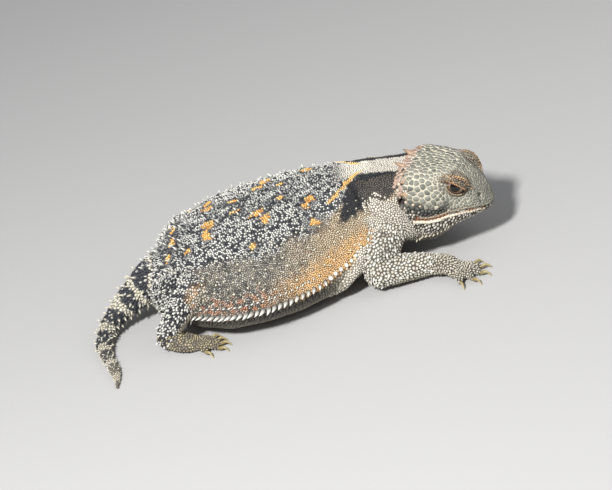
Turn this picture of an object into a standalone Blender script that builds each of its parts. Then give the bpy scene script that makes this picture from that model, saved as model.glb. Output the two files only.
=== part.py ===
"""A horned lizard at life size, resting on its belly with its head turned to its right.

Lengths are in millimetres and become metres as each mesh is made. The head points to +X,
the animal's left side to +Y, and the floor is z = 0.
"""

import math
import random

import bmesh
import bpy
from mathutils import Matrix, Vector

MM = 0.001
SEED = 11
FLOOR = 0.0
GAP = 0.3          # space left between pieces that touch
SCRAP_POINTS = 20  # a loose surface with fewer points than this is a scrap of a cut

# Trunk: x, height of the side edge, half width, rise above the edge, drop below it
TRUNK = [
    (-39.5, 8.6, 6.2, 5.4, 5.6),
    (-37.0, 8.3, 8.8, 7.4, 7.2),
    (-32.0, 8.0, 15.0, 11.2, 8.2),
    (-26.0, 7.8, 20.4, 13.6, 8.4),
    (-18.0, 7.8, 24.0, 14.8, 8.6),
    (-9.0, 7.8, 24.2, 15.4, 8.6),
    (0.0, 8.2, 21.8, 15.6, 8.8),
    (7.0, 9.2, 17.6, 15.2, 9.4),
    (13.0, 10.8, 14.2, 13.6, 9.8),
    (19.0, 12.4, 12.4, 11.2, 9.4),
]
TRUNK_RINGS = 22
TRUNK_SIDES = 32
BACK_POWER = 2.15
BELLY_POWER = 2.25

# Head in its own frame: distance forward, height of the side edge, half width, rise, drop
HEAD = [
    (0.0, 3.4, 9.6, 4.0, 13.2),
    (3.0, 4.0, 10.5, 4.2, 14.8),
    (7.0, 3.0, 10.2, 5.4, 13.7),
    (10.0, 2.0, 9.6, 6.4, 10.8),
    (12.5, 1.2, 8.9, 6.9, 7.7),
    (15.0, 0.2, 7.5, 6.1, 5.1),
    (17.5, -0.8, 5.6, 4.7, 2.8),
    (19.3, -1.4, 3.7, 2.9, 1.5),
    (20.3, -1.7, 2.0, 1.4, 0.8),
]
HEAD_RINGS = 16
HEAD_SIDES = 28
CROWN_POWER = 3.6
JAW_POWER = 2.9
HEAD_PLACE = (24.6, 0.6, 15.0)
HEAD_YAW, HEAD_PITCH, HEAD_ROLL = -19.0, 11.0, -6.0

# The mouth line runs back from the snout and turns down behind the jaw: forward, up
MOUTH = [
    (23.0, -2.1), (20.0, -1.7), (18.0, -1.1), (15.0, -1.0), (12.0, -1.4), (10.0, -2.3),
    (7.5, -2.8), (5.4, -2.7), (4.2, -3.6), (3.6, -6.0), (3.2, -9.0), (3.0, -13.0),
]
MOUTH_REACH = 14.0

EYE_PLACE = (13.5, 5.3, 4.7)
EYE_RADIUS = 2.3
LID_THICKNESS = 0.6
LID_OPENING = (4.6, 2.9)
LID_TURN = 30.0
BROW = [(17.3, 4.7, 3.0), (16.4, 6.1, 5.0), (15.1, 7.1, 6.7),
        (13.2, 7.4, 7.4), (11.0, 7.9, 7.3), (9.4, 8.3, 7.0)]
BROW_RADIUS = (0.45, 0.7, 0.85, 0.85, 0.7, 0.4)
BROW_STEPS = 11
NOSTRIL_PLACE = (18.9, 2.3, 1.9)
NOSTRIL_RADIUS = 0.5
EAR_PLACE = (2.2, 9.6, 0.6)
EAR_SIZE = (0.9, 1.3, 1.9)

# Horns on the head's rear rim: forward, sideways, up, then the length and base radius
OCCIPITAL_HORN = (1.6, 3.3, 7.0, 3.9, 1.25)
OCCIPITAL_ROOT = Vector((1.0, 0.0, -0.9))
OCCIPITAL_LEAN = Vector((-0.82, 0.12, 0.55))
TEMPORAL_HORNS = [
    (1.9, 6.9, 7.2, 2.1, 1.1),
    (2.3, 9.7, 6.2, 2.0, 1.1),
    (2.2, 10.5, 3.6, 1.8, 1.0),
]
TEMPORAL_ROOT = Vector((0.9, -0.9, -0.3))
TEMPORAL_LEAN = Vector((-0.7, 0.55, 0.3))
HORN_SWELL = Vector((0.25, 0.0, 0.1))
HORN_TIP = 0.16
HORN_SIDES = 7

# The neck starts inside the trunk and ends inside the head, a little narrower than it
NECK_START = 0.985
NECK_END = 0.12
NECK_FIT = (1.0, 0.9, 0.92)
NECK_RINGS = 7

# Tail centre line with half width and half height at each point
TAIL = [
    ((-39.8, 0.0, 9.3), 4.8, 4.6),
    ((-43.5, -0.2, 7.4), 4.0, 3.8),
    ((-48.0, -1.4, 5.0), 3.0, 2.8),
    ((-51.6, -5.0, 3.3), 2.3, 2.1),
    ((-52.9, -10.0, 2.1), 1.9, 1.7),
    ((-51.9, -15.5, 1.4), 1.5, 1.35),
    ((-50.3, -20.0, 1.1), 1.2, 1.1),
    ((-49.3, -24.5, 0.8), 0.9, 0.8),
    ((-49.0, -28.3, 0.5), 0.4, 0.45),
]
TAIL_RINGS = 27
TAIL_SIDES = 12
TAIL_CUTS = (9, 18)

# Legs: joint places, and the half thickness at the start, middle and end of each length
LEGS = {
    "fore_right": {
        "kind": "fore", "heading": -31.0,
        "joints": [(19.2, -9.0, 12.6), (13.9, -15.6, 4.3), (26.4, -15.6, 3.3)],
        "palm": (30.2, -17.6, 3.1),
    },
    "fore_left": {
        "kind": "fore", "heading": 28.0,
        "joints": [(18.4, 9.0, 12.0), (12.6, 17.4, 4.6), (22.0, 22.4, 3.1)],
        "palm": (25.6, 24.2, 2.2),
    },
    "hind_right": {
        "kind": "hind", "heading": -24.0,
        "joints": [(-34.0, -8.0, 9.0), (-27.0, -18.0, 14.2), (-37.2, -17.2, 3.2)],
        "palm": (-32.2, -19.0, 2.0),
    },
    "hind_left": {
        "kind": "hind", "heading": 40.0,
        "joints": [(-34.0, 8.0, 9.0), (-28.6, 19.0, 12.0), (-43.0, 12.4, 3.0)],
        "palm": (-39.2, 16.4, 2.0),
    },
}
LEG_SIZES = {
    "fore": {
        "upper": "upper_arm", "lower": "forearm", "end": "hand",
        "upper_radius": (4.2, 4.1, 3.3), "lower_radius": (3.3, 3.2, 2.5),
        "palm_size": (2.9, 1.8), "digits": (3.6, 4.8, 5.4, 5.2, 3.8),
        "spread": (52.0, 27.0, 3.0, -21.0, -48.0),
    },
    "hind": {
        "upper": "thigh", "lower": "shank", "end": "foot",
        "upper_radius": (5.0, 4.9, 3.5), "lower_radius": (3.4, 3.1, 2.3),
        "palm_size": (3.0, 1.7), "digits": (3.4, 4.6, 6.0, 6.6, 4.4),
        "spread": (40.0, 22.0, 7.0, -8.0, -28.0),
    },
}
LEG_SIDES = 10
DIGIT_RADIUS = 0.95
DIGIT_SIDES = 6
CLAW_LENGTH = 2.3
CLAW_RADIUS = 0.55

# Spines: height above the skin, and base radius
BACK_SPINE = (2.0, 0.82)
BACK_SPINE_STEP = 4.7
BACK_SPINE_CLEAR = 1.9
BACK_SPINE_SPAN = (-36.5, 15.5)
BACK_SPINE_ANGLES = (20.0, 160.0)
FRINGE_SPINE = (2.5, 0.85)
FRINGE_STEP = 2.0
FRINGE_CLEAR = 1.3
FRINGE_SPAN = (-33.0, 12.5)
TAIL_SPINE = (1.9, 0.75)
TAIL_SPINE_ANGLES = (-8.0, 24.0, 62.0, 118.0, 156.0, 188.0)
LEG_SPINE = (1.5, 0.68)
LEG_SPINE_ANGLES = (-20.0, 20.0, 60.0, 100.0, 140.0, 180.0, 220.0)
LEG_SPINE_CLEAR = 1.6
UPPER_SPINE_STEPS = (2, 3, 4, 5)
LOWER_SPINE_STEPS = (3, 4, 5, 6)
JAW_SPINE = (1.1, 0.55)
JAW_SPINE_SPAN = (5.6, 15.6)
JAW_SPINES = 6
SPINE_SINK = 0.9
SPINE_LEAN = 0.7
LIP_RADIUS = 0.45
LIP_SPAN = (5.6, 19.0)
LIP_OFFSET = 0.62
LIP_STEPS = 7
JAW_EDGE_SHARE = 0.86
SIDES = ((-1, "right"), (1, "left"))
UP = Vector((0, 0, 1))

SKIN_GREY = (0.17, 0.165, 0.15)
SKIN_DARK = (0.06, 0.06, 0.065)
SKIN_PALE = (0.46, 0.42, 0.33)
HORN_TAN = (0.42, 0.27, 0.17)
CLAW_OLIVE = (0.45, 0.37, 0.12)
EYE_BROWN = (0.02, 0.015, 0.012)


def clear_scene():
    for obj in list(bpy.data.objects):
        bpy.data.objects.remove(obj, do_unlink=True)


def make_collection(name):
    found = bpy.data.collections.new(name)
    bpy.context.scene.collection.children.link(found)
    return found


def material_of(name, color, roughness=0.75):
    made = bpy.data.materials.new(name)
    made.use_nodes = True
    shader = made.node_tree.nodes["Principled BSDF"]
    shader.inputs["Base Color"].default_value = (*color, 1.0)
    shader.inputs["Roughness"].default_value = roughness
    return made


def object_of(bm, name, collection):
    """Turns a bmesh in millimetres into an object in metres, faces out."""
    bmesh.ops.recalc_face_normals(bm, faces=bm.faces)
    bmesh.ops.scale(bm, vec=(MM, MM, MM), verts=bm.verts)
    mesh = bpy.data.meshes.new(name)
    bm.to_mesh(mesh)
    bm.free()
    obj = bpy.data.objects.new(name, mesh)
    collection.objects.link(obj)
    return obj


def finish(obj, name, color, roughness=0.75):
    obj.name = name
    obj.data.name = name
    obj.data.materials.clear()
    obj.data.materials.append(material_of(name, color, roughness))
    return obj


def smooth_row(rows, t):
    """A smooth value between rows of numbers, for t from 0 to 1."""
    place = t * (len(rows) - 1)
    i = min(int(place), len(rows) - 2)
    f = place - i
    a = rows[max(i - 1, 0)]
    b = rows[i]
    c = rows[i + 1]
    d = rows[min(i + 2, len(rows) - 1)]
    return [
        0.5 * (2 * q + (r - p) * f + (2 * p - 5 * q + 4 * r - s) * f * f
               + (3 * q - p - 3 * r + s) * f ** 3)
        for p, q, r, s in zip(a, b, c, d)
    ]


def bent_power(value, power):
    return math.copysign(abs(value) ** (2.0 / power), value)


def oval_point(angle, edge, half_width, rise, drop, powers):
    """Sideways and height on an oval whose upper and lower halves differ."""
    upper = math.sin(angle) >= 0
    power = powers[0] if upper else powers[1]
    side = half_width * bent_power(math.cos(angle), power)
    height = edge + (rise if upper else drop) * bent_power(math.sin(angle), power)
    return side, height


def trunk_point(t, angle):
    x, edge, half_width, rise, drop = smooth_row(TRUNK, t)
    side, height = oval_point(angle, edge, half_width, rise, drop, (BACK_POWER, BELLY_POWER))
    return Vector((x, side, max(height, FLOOR)))


HEAD_MATRIX = (
    Matrix.Translation(HEAD_PLACE)
    @ Matrix.Rotation(math.radians(HEAD_YAW), 4, "Z")
    @ Matrix.Rotation(math.radians(HEAD_PITCH), 4, "Y")
    @ Matrix.Rotation(math.radians(HEAD_ROLL), 4, "X")
)


def head_point(t, angle):
    u, edge, half_width, rise, drop = smooth_row(HEAD, t)
    side, height = oval_point(angle, edge, half_width, rise, drop, (CROWN_POWER, JAW_POWER))
    return HEAD_MATRIX @ Vector((u, side, height))


def station(rows, along):
    """How far through the rows, from 0 to 1, the first number reaches a length."""
    low, high = 0.0, 1.0
    for _ in range(24):
        t = (low + high) / 2
        low, high = (t, high) if smooth_row(rows, t)[0] < along else (low, t)
    return t


def head_skin(u, w, side):
    """The place on the head's side at a distance forward and a height."""
    _, edge, half_width, rise, drop = smooth_row(HEAD, station(HEAD, u))
    above = w >= edge
    power = CROWN_POWER if above else JAW_POWER
    share = min(abs(w - edge) / (rise if above else drop), 1.0)
    return Vector((u, side * half_width * (1 - share ** power) ** (1 / power), w))


def trunk_frame(t, angle):
    """Place, outward direction and tailward direction on the trunk."""
    along = trunk_point(t + 0.01, angle) - trunk_point(t - 0.01, angle)
    across = trunk_point(t, angle + 0.03) - trunk_point(t, angle - 0.03)
    return trunk_point(t, angle), across.cross(along).normalized(), -along.normalized()


def ring(point, t, sides):
    return [point(t, 2 * math.pi * i / sides) for i in range(sides)]


def add_loft(bm, rings):
    """Skins a run of rings that have equal counts of points, and caps both ends."""
    rows = [[bm.verts.new(p) for p in points] for points in rings]
    count = len(rows[0])
    for lower, upper in zip(rows, rows[1:]):
        for i in range(count):
            j = (i + 1) % count
            bm.faces.new((lower[i], lower[j], upper[j], upper[i]))
    for row in (rows[0], rows[-1]):
        centre = sum((v.co for v in row), Vector()) / count
        tip = bm.verts.new(centre)
        for i in range(count):
            bm.faces.new((row[i], row[(i + 1) % count], tip))


def loft(name, rings, collection):
    bm = bmesh.new()
    add_loft(bm, rings)
    return object_of(bm, name, collection)


def line_frame(points, i, up):
    ahead = points[min(i + 1, len(points) - 1)] - points[max(i - 1, 0)]
    ahead.normalize()
    side = up.cross(ahead).normalized()
    return ahead, side, ahead.cross(side)


def tube_rings(points, widths, heights, sides, up=UP):
    """Rings round a line of points, level with up, and never below the floor."""
    rings = []
    for i, centre in enumerate(points):
        _, side, over = line_frame(points, i, up)
        row = []
        for k in range(sides):
            angle = 2 * math.pi * (k + 0.5) / sides
            p = centre + side * widths[i] * math.cos(angle) + over * heights[i] * math.sin(angle)
            p.z = max(p.z, FLOOR)
            row.append(p)
        rings.append(row)
    return rings


def smooth_line(points, widths, heights, count):
    rows = [(*p, w, h) for p, w, h in zip(points, widths, heights)]
    found = [smooth_row(rows, i / (count - 1)) for i in range(count)]
    return [Vector(r[:3]) for r in found], [r[3] for r in found], [r[4] for r in found]


def add_cone(bm, base, tip, radius, sides=4, spin=0.0):
    """A spine from a sunk base to its tip."""
    line = tip - base
    turn = line.to_track_quat("Z", "Y").to_matrix().to_4x4()
    place = Matrix.Translation((base + tip) / 2) @ turn @ Matrix.Rotation(spin, 4, "Z")
    bmesh.ops.create_cone(
        bm, cap_ends=True, cap_tris=True, segments=sides,
        radius1=radius, radius2=0.0, depth=line.length, matrix=place,
    )


def add_spine(bm, place, outward, back, height, radius, lean=SPINE_LEAN):
    """A spine that stands on the skin and leans back."""
    grow = random.uniform(0.8, 1.2)
    tip = place + (outward + back * lean).normalized() * height * grow
    tip.z = max(tip.z, FLOOR + radius)
    add_cone(bm, place - outward * SPINE_SINK, tip, radius, spin=random.uniform(0, math.pi))


def clear_of_legs(place, margin):
    """Whether a place lies outside every length of leg by a margin."""
    for plan in LEGS.values():
        sizes = LEG_SIZES[plan["kind"]]
        root, bend, wrist = [Vector(p) for p in plan["joints"]]
        for start, end, radii in ((root, bend, sizes["upper_radius"]), (bend, wrist, sizes["lower_radius"])):
            line = end - start
            share = min(max((place - start).dot(line) / line.length_squared, 0.0), 1.0)
            if (place - start - line * share).length < max(radii) + margin:
                return False
    return True


def apply_modifiers(obj):
    graph = bpy.context.evaluated_depsgraph_get()
    made = bpy.data.meshes.new_from_object(obj.evaluated_get(graph))
    obj.modifiers.clear()
    obj.data = made


def keep_largest(obj, pick=None):
    """Keeps one closed surface of the mesh: the largest, or the one that pick ranks highest."""
    bm = bmesh.new()
    bm.from_mesh(obj.data)
    left = set(bm.verts)
    islands = []
    while left:
        seed = left.pop()
        island = {seed}
        edge_of_search = [seed]
        while edge_of_search:
            vert = edge_of_search.pop()
            for edge in vert.link_edges:
                other = edge.other_vert(vert)
                if other in left:
                    left.remove(other)
                    island.add(other)
                    edge_of_search.append(other)
        islands.append(island)
    rank = pick or (lambda verts: box_volume(verts))
    kept = max(islands, key=rank)
    bmesh.ops.delete(bm, geom=[v for v in bm.verts if v not in kept], context="VERTS")
    bm.to_mesh(obj.data)
    bm.free()


def box_volume(verts):
    sides = [max(v.co[k] for v in verts) - min(v.co[k] for v in verts) for k in range(3)]
    return sides[0] * sides[1] * sides[2]


def boolean(obj, other, operation, solver="EXACT"):
    step = obj.modifiers.new(operation.lower(), "BOOLEAN")
    step.operation = operation
    step.solver = solver
    step.object = other
    if solver == "EXACT":
        step.use_self = True
    apply_modifiers(obj)


def remove(obj):
    bpy.data.objects.remove(obj, do_unlink=True)


def fuse(obj, added):
    """Joins a closed mesh of loose spines to the object."""
    boolean(obj, added, "UNION", "MANIFOLD")
    remove(added)
    keep_largest(obj)


def carve(obj, cutter, keep=False):
    boolean(obj, cutter, "DIFFERENCE")
    if not keep:
        remove(cutter)


def grown(obj, collection, by=GAP):
    """A copy of the object swollen by a set distance."""
    bm = bmesh.new()
    bm.from_mesh(obj.data)
    bmesh.ops.triangulate(bm, faces=bm.faces)
    bm.normal_update()
    moves = [(v, v.normal * by * MM * min(v.calc_shell_factor(), 2.0)) for v in bm.verts]
    for vert, move in moves:
        vert.co += move
    mesh = bpy.data.meshes.new(obj.name + "_grown")
    bm.to_mesh(mesh)
    bm.free()
    swollen = bpy.data.objects.new(obj.name + "_grown", mesh)
    swollen.hide_render = True
    swollen.display_type = "WIRE"
    collection.objects.link(swollen)
    return swollen


def cut_clear(obj, others, collection):
    """Cuts the object back so that it meets each of the others with a gap."""
    for other in others:
        carve(obj, grown(other, collection))
    keep_largest(obj)


def make_trunk(parts):
    rings = [ring(trunk_point, i / (TRUNK_RINGS - 1), TRUNK_SIDES) for i in range(TRUNK_RINGS)]
    return finish(loft("torso", rings, parts), "torso", SKIN_DARK)


def arc_angles(t, first, last, step, shift):
    """Angles round one trunk ring that lie a set distance apart along the skin."""
    count = 80
    found = []
    run = step * shift
    before = trunk_point(t, math.radians(first))
    for i in range(1, count + 1):
        angle = math.radians(first + (last - first) * i / count)
        here = trunk_point(t, angle)
        run += (here - before).length
        before = here
        if run >= step:
            run -= step
            found.append(angle)
    return found


def back_spines(cutters):
    """Staggered rows of spines over the back, tallest along the middle and over the hips."""
    bm = bmesh.new()
    first, last = BACK_SPINE_SPAN
    rows = int((last - first) / (BACK_SPINE_STEP * 0.87))
    for row in range(rows + 1):
        x = first + (last - first) * row / rows
        t = station(TRUNK, x)
        for angle in arc_angles(t, *BACK_SPINE_ANGLES, BACK_SPINE_STEP, 0.5 * (row % 2)):
            turn = angle + random.uniform(-0.04, 0.04)
            place, outward, back = trunk_frame(t + random.uniform(-0.006, 0.006), turn)
            if clear_of_legs(place, BACK_SPINE_CLEAR):
                height = BACK_SPINE[0] * (0.55 + 0.45 * math.sin(turn) ** 2)
                add_spine(bm, place, outward, back, height, BACK_SPINE[1])
    return object_of(bm, "back_spines", cutters)


def fringe_spines(cutters):
    """One row of spines along each side edge, pointing out and back."""
    bm = bmesh.new()
    first, last = FRINGE_SPAN
    count = int((last - first) / FRINGE_STEP)
    for angle in (0.02, math.pi - 0.02):
        for i in range(count + 1):
            x = first + (last - first) * i / count
            place, outward, back = trunk_frame(station(TRUNK, x), angle)
            if clear_of_legs(place, FRINGE_CLEAR):
                ends = 0.6 + 0.4 * math.sin(math.pi * (i + 1) / (count + 2))
                add_spine(bm, place, outward, back, FRINGE_SPINE[0] * ends, FRINGE_SPINE[1] * ends, 0.9)
    return object_of(bm, "fringe_spines", cutters)


def line_spines(points, widths, heights, steps, angles, size, up, keep, cutters):
    """Spines round a tail or leg at some steps of its line, smaller where it is thinner."""
    bm = bmesh.new()
    widest = max(widths)
    for i in steps:
        ahead, side, over = line_frame(points, i, up)
        for degrees in angles:
            angle = math.radians(degrees + random.uniform(-6, 6))
            outward = (side * math.cos(angle) + over * math.sin(angle)).normalized()
            place = points[i] + side * widths[i] * math.cos(angle) + over * heights[i] * math.sin(angle)
            scale = 0.45 + 0.55 * widths[i] / widest
            if place.z > size[1] and keep(place):
                add_spine(bm, place, outward, ahead, size[0] * scale, size[1] * scale, 0.55)
    return object_of(bm, "line_spines", cutters)


def make_neck(parts, cutters, torso, head):
    """Runs from the shoulders into the back of the head, and is cut clear of both."""
    fit = HEAD_MATRIX @ Matrix.Diagonal((*NECK_FIT, 1.0)) @ HEAD_MATRIX.inverted()
    first = ring(trunk_point, NECK_START, HEAD_SIDES)
    last = [fit @ p for p in ring(head_point, NECK_END, HEAD_SIDES)]
    rings = []
    for i in range(NECK_RINGS):
        t = i / (NECK_RINGS - 1)
        ease = t * t * (3 - 2 * t)
        rings.append([a.lerp(b, ease) for a, b in zip(first, last)])
    neck = loft("neck", rings, parts)
    cut_clear(neck, [torso, head], cutters)
    return finish(neck, "neck", SKIN_PALE)


def ellipsoid(name, place, size, collection, segments=16, rings=10):
    """A stretched ball placed in the head's frame."""
    bm = bmesh.new()
    bmesh.ops.create_uvsphere(bm, u_segments=segments, v_segments=rings, radius=1.0)
    bmesh.ops.scale(bm, vec=size, verts=bm.verts)
    bmesh.ops.translate(bm, vec=place, verts=bm.verts)
    bmesh.ops.transform(bm, matrix=HEAD_MATRIX, verts=bm.verts)
    return object_of(bm, name, collection)


def mouth_sheet(cutters):
    """A thin bent sheet that parts the jaw from the head along the mouth line."""
    points = [Vector((u, 0.0, w)) for u, w in MOUTH]
    half = GAP / 2
    rings = []
    for i, p in enumerate(points):
        _, side, over = line_frame(points, i, Vector((0, -1, 0)))
        across = Vector((0, MOUTH_REACH, 0))
        row = [p - across - side * half, p + across - side * half,
               p + across + side * half, p - across + side * half]
        rings.append([HEAD_MATRIX @ q for q in row])
    return loft("mouth_sheet", rings, cutters)


def mouth_height(u):
    """Height of the mouth line at a distance forward."""
    for (u1, w1), (u0, w0) in zip(MOUTH, MOUTH[1:]):
        if u0 <= u <= u1:
            return w0 + (w1 - w0) * (u - u0) / (u1 - u0)
    return MOUTH[0][1]


def lip(side, offset, cutters):
    """A bead along one side of the mouth line."""
    first, last = LIP_SPAN
    places = []
    for i in range(LIP_STEPS):
        u = first + (last - first) * i / (LIP_STEPS - 1)
        places.append(HEAD_MATRIX @ head_skin(u, mouth_height(u) + offset, side))
    ends = [LIP_RADIUS * 0.65]
    radii = ends + [LIP_RADIUS] * (LIP_STEPS - 2) + ends
    return loft("lip", tube_rings(places, radii, radii, 5), cutters)


def jaw_spines(cutters):
    """A row of small spines along the lower edge of each side of the jaw."""
    bm = bmesh.new()
    first, last = JAW_SPINE_SPAN
    turn = HEAD_MATRIX.to_3x3()
    for side in (-1, 1):
        for i in range(JAW_SPINES):
            u = first + (last - first) * i / (JAW_SPINES - 1)
            _, edge, _, _, drop = smooth_row(HEAD, station(HEAD, u))
            place = head_skin(u, edge - JAW_EDGE_SHARE * drop, side)
            outward = turn @ Vector((0.1, side * 0.8, -0.5)).normalized()
            back = turn @ Vector((-1.0, 0.0, 0.0))
            add_spine(bm, HEAD_MATRIX @ place, outward, back, JAW_SPINE[0], JAW_SPINE[1])
    return object_of(bm, "jaw_spines", cutters)


def side_point(place, side):
    return Vector((place[0], place[1] * side, place[2]))


def lid_cutter(side, cutters):
    """A pointed oval bar along the eye's line of sight, which opens the lids."""
    half_length = LID_OPENING[0] / 2
    half_height = LID_OPENING[1] / 2
    outline = []
    steps = 7
    for sign in (1, -1):
        for i in range(steps):
            f = -1 + 2 * i / steps
            outline.append((sign * f * half_length, sign * half_height * (1 - f * f)))
    turn = math.radians(LID_TURN)
    eye = side_point(EYE_PLACE, side)
    rings = []
    for out in (0.8, 6.0):
        row = []
        for a, b in outline:
            u = a * math.cos(turn) + b * math.sin(turn)
            w = -a * math.sin(turn) + b * math.cos(turn)
            row.append(HEAD_MATRIX @ (eye + Vector((u + 0.15 * out, side * out, w + 0.1 * out))))
        rings.append(row)
    return loft("lid_cutter", rings, cutters)


def add_eye(head, side, word, parts, cutters):
    """A socket with thick lids and a brow over it, and the eyeball inside them."""
    eye = side_point(EYE_PLACE, side)
    shell = EYE_RADIUS + GAP + LID_THICKNESS
    fuse(head, ellipsoid("lid_shell", eye, (shell, shell, shell), cutters))
    brow, widths, heights = smooth_line(
        [HEAD_MATRIX @ side_point(p, side) for p in BROW], BROW_RADIUS, BROW_RADIUS, BROW_STEPS)
    fuse(head, loft("brow", tube_rings(brow, widths, heights, 6), cutters))
    hollow = EYE_RADIUS + GAP
    carve(head, ellipsoid("socket", eye, (hollow, hollow, hollow), cutters))
    carve(head, lid_cutter(side, cutters))
    ball = ellipsoid("eye_" + word, eye, (EYE_RADIUS, EYE_RADIUS, EYE_RADIUS), parts)
    finish(ball, "eye_" + word, EYE_BROWN, 0.1)


def make_head(parts, cutters):
    """The head and the lower jaw, parted along the mouth line, and their plain form."""
    rings = [ring(head_point, i / (HEAD_RINGS - 1), HEAD_SIDES) for i in range(HEAD_RINGS)]
    head = loft("head", rings, parts)
    form = loft("head_form", rings, cutters)
    for side, word in SIDES:
        add_eye(head, side, word, parts, cutters)
        nostril = (NOSTRIL_RADIUS, NOSTRIL_RADIUS * 1.4, NOSTRIL_RADIUS)
        carve(head, ellipsoid("nostril", side_point(NOSTRIL_PLACE, side), nostril, cutters, 8, 6))
        carve(head, ellipsoid("ear", side_point(EAR_PLACE, side), EAR_SIZE, cutters, 10, 8))
        fuse(head, lip(side, LIP_OFFSET, cutters))
        fuse(head, lip(side, -LIP_OFFSET, cutters))
    fuse(head, jaw_spines(cutters))
    carve(head, mouth_sheet(cutters))
    jaw = bpy.data.objects.new("lower_jaw", head.data.copy())
    parts.objects.link(jaw)
    keep_largest(head)
    keep_largest(jaw, lowest_body)
    finish(head, "head", SKIN_GREY)
    finish(jaw, "lower_jaw", SKIN_PALE)
    return head, jaw, form


def lowest_body(verts):
    """Ranks closed surfaces so that the lowest one of real size comes first."""
    scraps = len(verts) < SCRAP_POINTS
    return -math.inf if scraps else -sum(v.co.z for v in verts) / len(verts)


def make_horns(parts, cutters, neighbours):
    """An occipital horn and a row of temporal horns on each side of the rear rim."""
    for side, word in SIDES:
        plans = [(f"occipital_horn_{word}", OCCIPITAL_HORN, OCCIPITAL_ROOT, OCCIPITAL_LEAN)]
        for i, horn in enumerate(TEMPORAL_HORNS):
            plans.append((f"temporal_horn_{word}_{i + 1}", horn, TEMPORAL_ROOT, TEMPORAL_LEAN))
        for name, (*place, length, radius), root, lean in plans:
            base = side_point(Vector(place) + root, side)
            tip = side_point(Vector(place) + lean * length, side)
            middle = base.lerp(tip, 0.55) + HORN_SWELL
            sizes = (radius, radius * 0.72, HORN_TIP)
            line = smooth_line([HEAD_MATRIX @ p for p in (base, middle, tip)], sizes, sizes, 4)
            up = Vector((0, 1, 0.2)).normalized()
            made = loft(name, tube_rings(*line, HORN_SIDES, up), parts)
            cut_clear(made, neighbours, cutters)
            finish(made, name, HORN_TAN, 0.5)


def make_tail(parts, cutters, torso):
    points, widths, heights = smooth_line(
        [p for p, _, _ in TAIL], [w for _, w, _ in TAIL], [h for _, _, h in TAIL], TAIL_RINGS)
    rings = tube_rings(points, widths, heights, TAIL_SIDES)
    starts = (0,) + TAIL_CUTS
    ends = TAIL_CUTS + (TAIL_RINGS - 1,)
    lengths = []
    for name, start, end in zip(("tail_base", "tail_mid", "tail_tip"), starts, ends):
        length = loft(name, rings[start:end + 1], parts)
        earlier = [torso] if not lengths else [lengths[-1]]
        lengths.append(length)
        cut_clear(length, earlier, cutters)
        steps = range(start + 2, end - 1, 2)
        fuse(length, line_spines(points, widths, heights, steps, TAIL_SPINE_ANGLES, TAIL_SPINE,
                                 UP, lambda place: clear_of_legs(place, 1.0), cutters))
        finish(length, name, SKIN_DARK if start == 0 else SKIN_GREY)
    return lengths


def limb_length(name, start, end, radii, bow, parts):
    """One swelling length of a leg between two joints, round at both ends."""
    middle = (start + end) / 2 + bow
    first = start - (end - start).normalized() * radii[0] * 0.55
    last = end + (end - start).normalized() * radii[2] * 0.8
    places = [first, start, middle, end, last]
    sizes = [radii[0] * 0.55, radii[0], radii[1], radii[2], radii[2] * 0.45]
    points, widths, heights = smooth_line(places, sizes, sizes, 9)
    line = (end - start).normalized()
    up = UP if abs(line.z) < 0.8 else Vector((1, 0, 0))
    length = loft(name, tube_rings(points, widths, heights, LEG_SIDES, up), parts)
    return length, (points, widths, heights, up)


def make_leg(place, parts, cutters, torso, neighbours):
    plan = LEGS[place]
    sizes = LEG_SIZES[plan["kind"]]
    word = place.split("_")[1]
    side = -1 if word == "right" else 1
    root, bend, wrist = [Vector(p) for p in plan["joints"]]
    palm = Vector(plan["palm"])
    skin = SKIN_PALE if plan["kind"] == "fore" else SKIN_DARK

    upper, upper_line = limb_length(
        "upper", root, bend, sizes["upper_radius"], Vector((0, side * 0.8, 0.6)), parts)
    cut_clear(upper, [torso, *neighbours] if plan["kind"] == "fore" else [torso], cutters)
    finish(upper, f"{sizes['upper']}_{word}", skin)

    lower, lower_line = limb_length(
        "lower", bend, wrist, sizes["lower_radius"], Vector((0, 0, 0.3)), parts)
    cut_clear(lower, [upper, torso], cutters)
    finish(lower, f"{sizes['lower']}_{word}", skin)

    end, end_line = make_foot(plan, sizes, wrist, palm, side, parts, cutters)
    cut_clear(end, [lower], cutters)
    finish(end, f"{sizes['end']}_{word}", SKIN_PALE)
    make_claws(plan, sizes, palm, side, word, parts)
    leg_spines(upper, upper_line, UPPER_SPINE_STEPS, [lower_line, end_line], cutters)
    leg_spines(lower, lower_line, LOWER_SPINE_STEPS, [upper_line, end_line], cutters)


def leg_spines(length, line, steps, others, cutters):
    """Spines on one length of a leg, clear of its other lengths and of the trunk."""
    points, widths, heights, up = line

    def keep(place):
        clear = all((place - p).length > w + LEG_SPINE_CLEAR
                    for other in others for p, w in zip(other[0], other[1]))
        return clear and trunk_clearance(place) > LEG_SPINE_CLEAR

    fuse(length, line_spines(points, widths, heights, steps, LEG_SPINE_ANGLES, LEG_SPINE, up, keep, cutters))


def trunk_clearance(place):
    """How far a place lies outside the trunk, measured along the line from its middle."""
    t = station(TRUNK, min(max(place.x, TRUNK[0][0]), TRUNK[-1][0]))
    _, edge, half_width, rise, drop = smooth_row(TRUNK, t)
    tall = rise if place.z > edge else drop
    reach = math.hypot(place.y / half_width, (place.z - edge) / tall)
    return (reach - 1) * math.hypot(place.y, place.z - edge)


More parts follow.
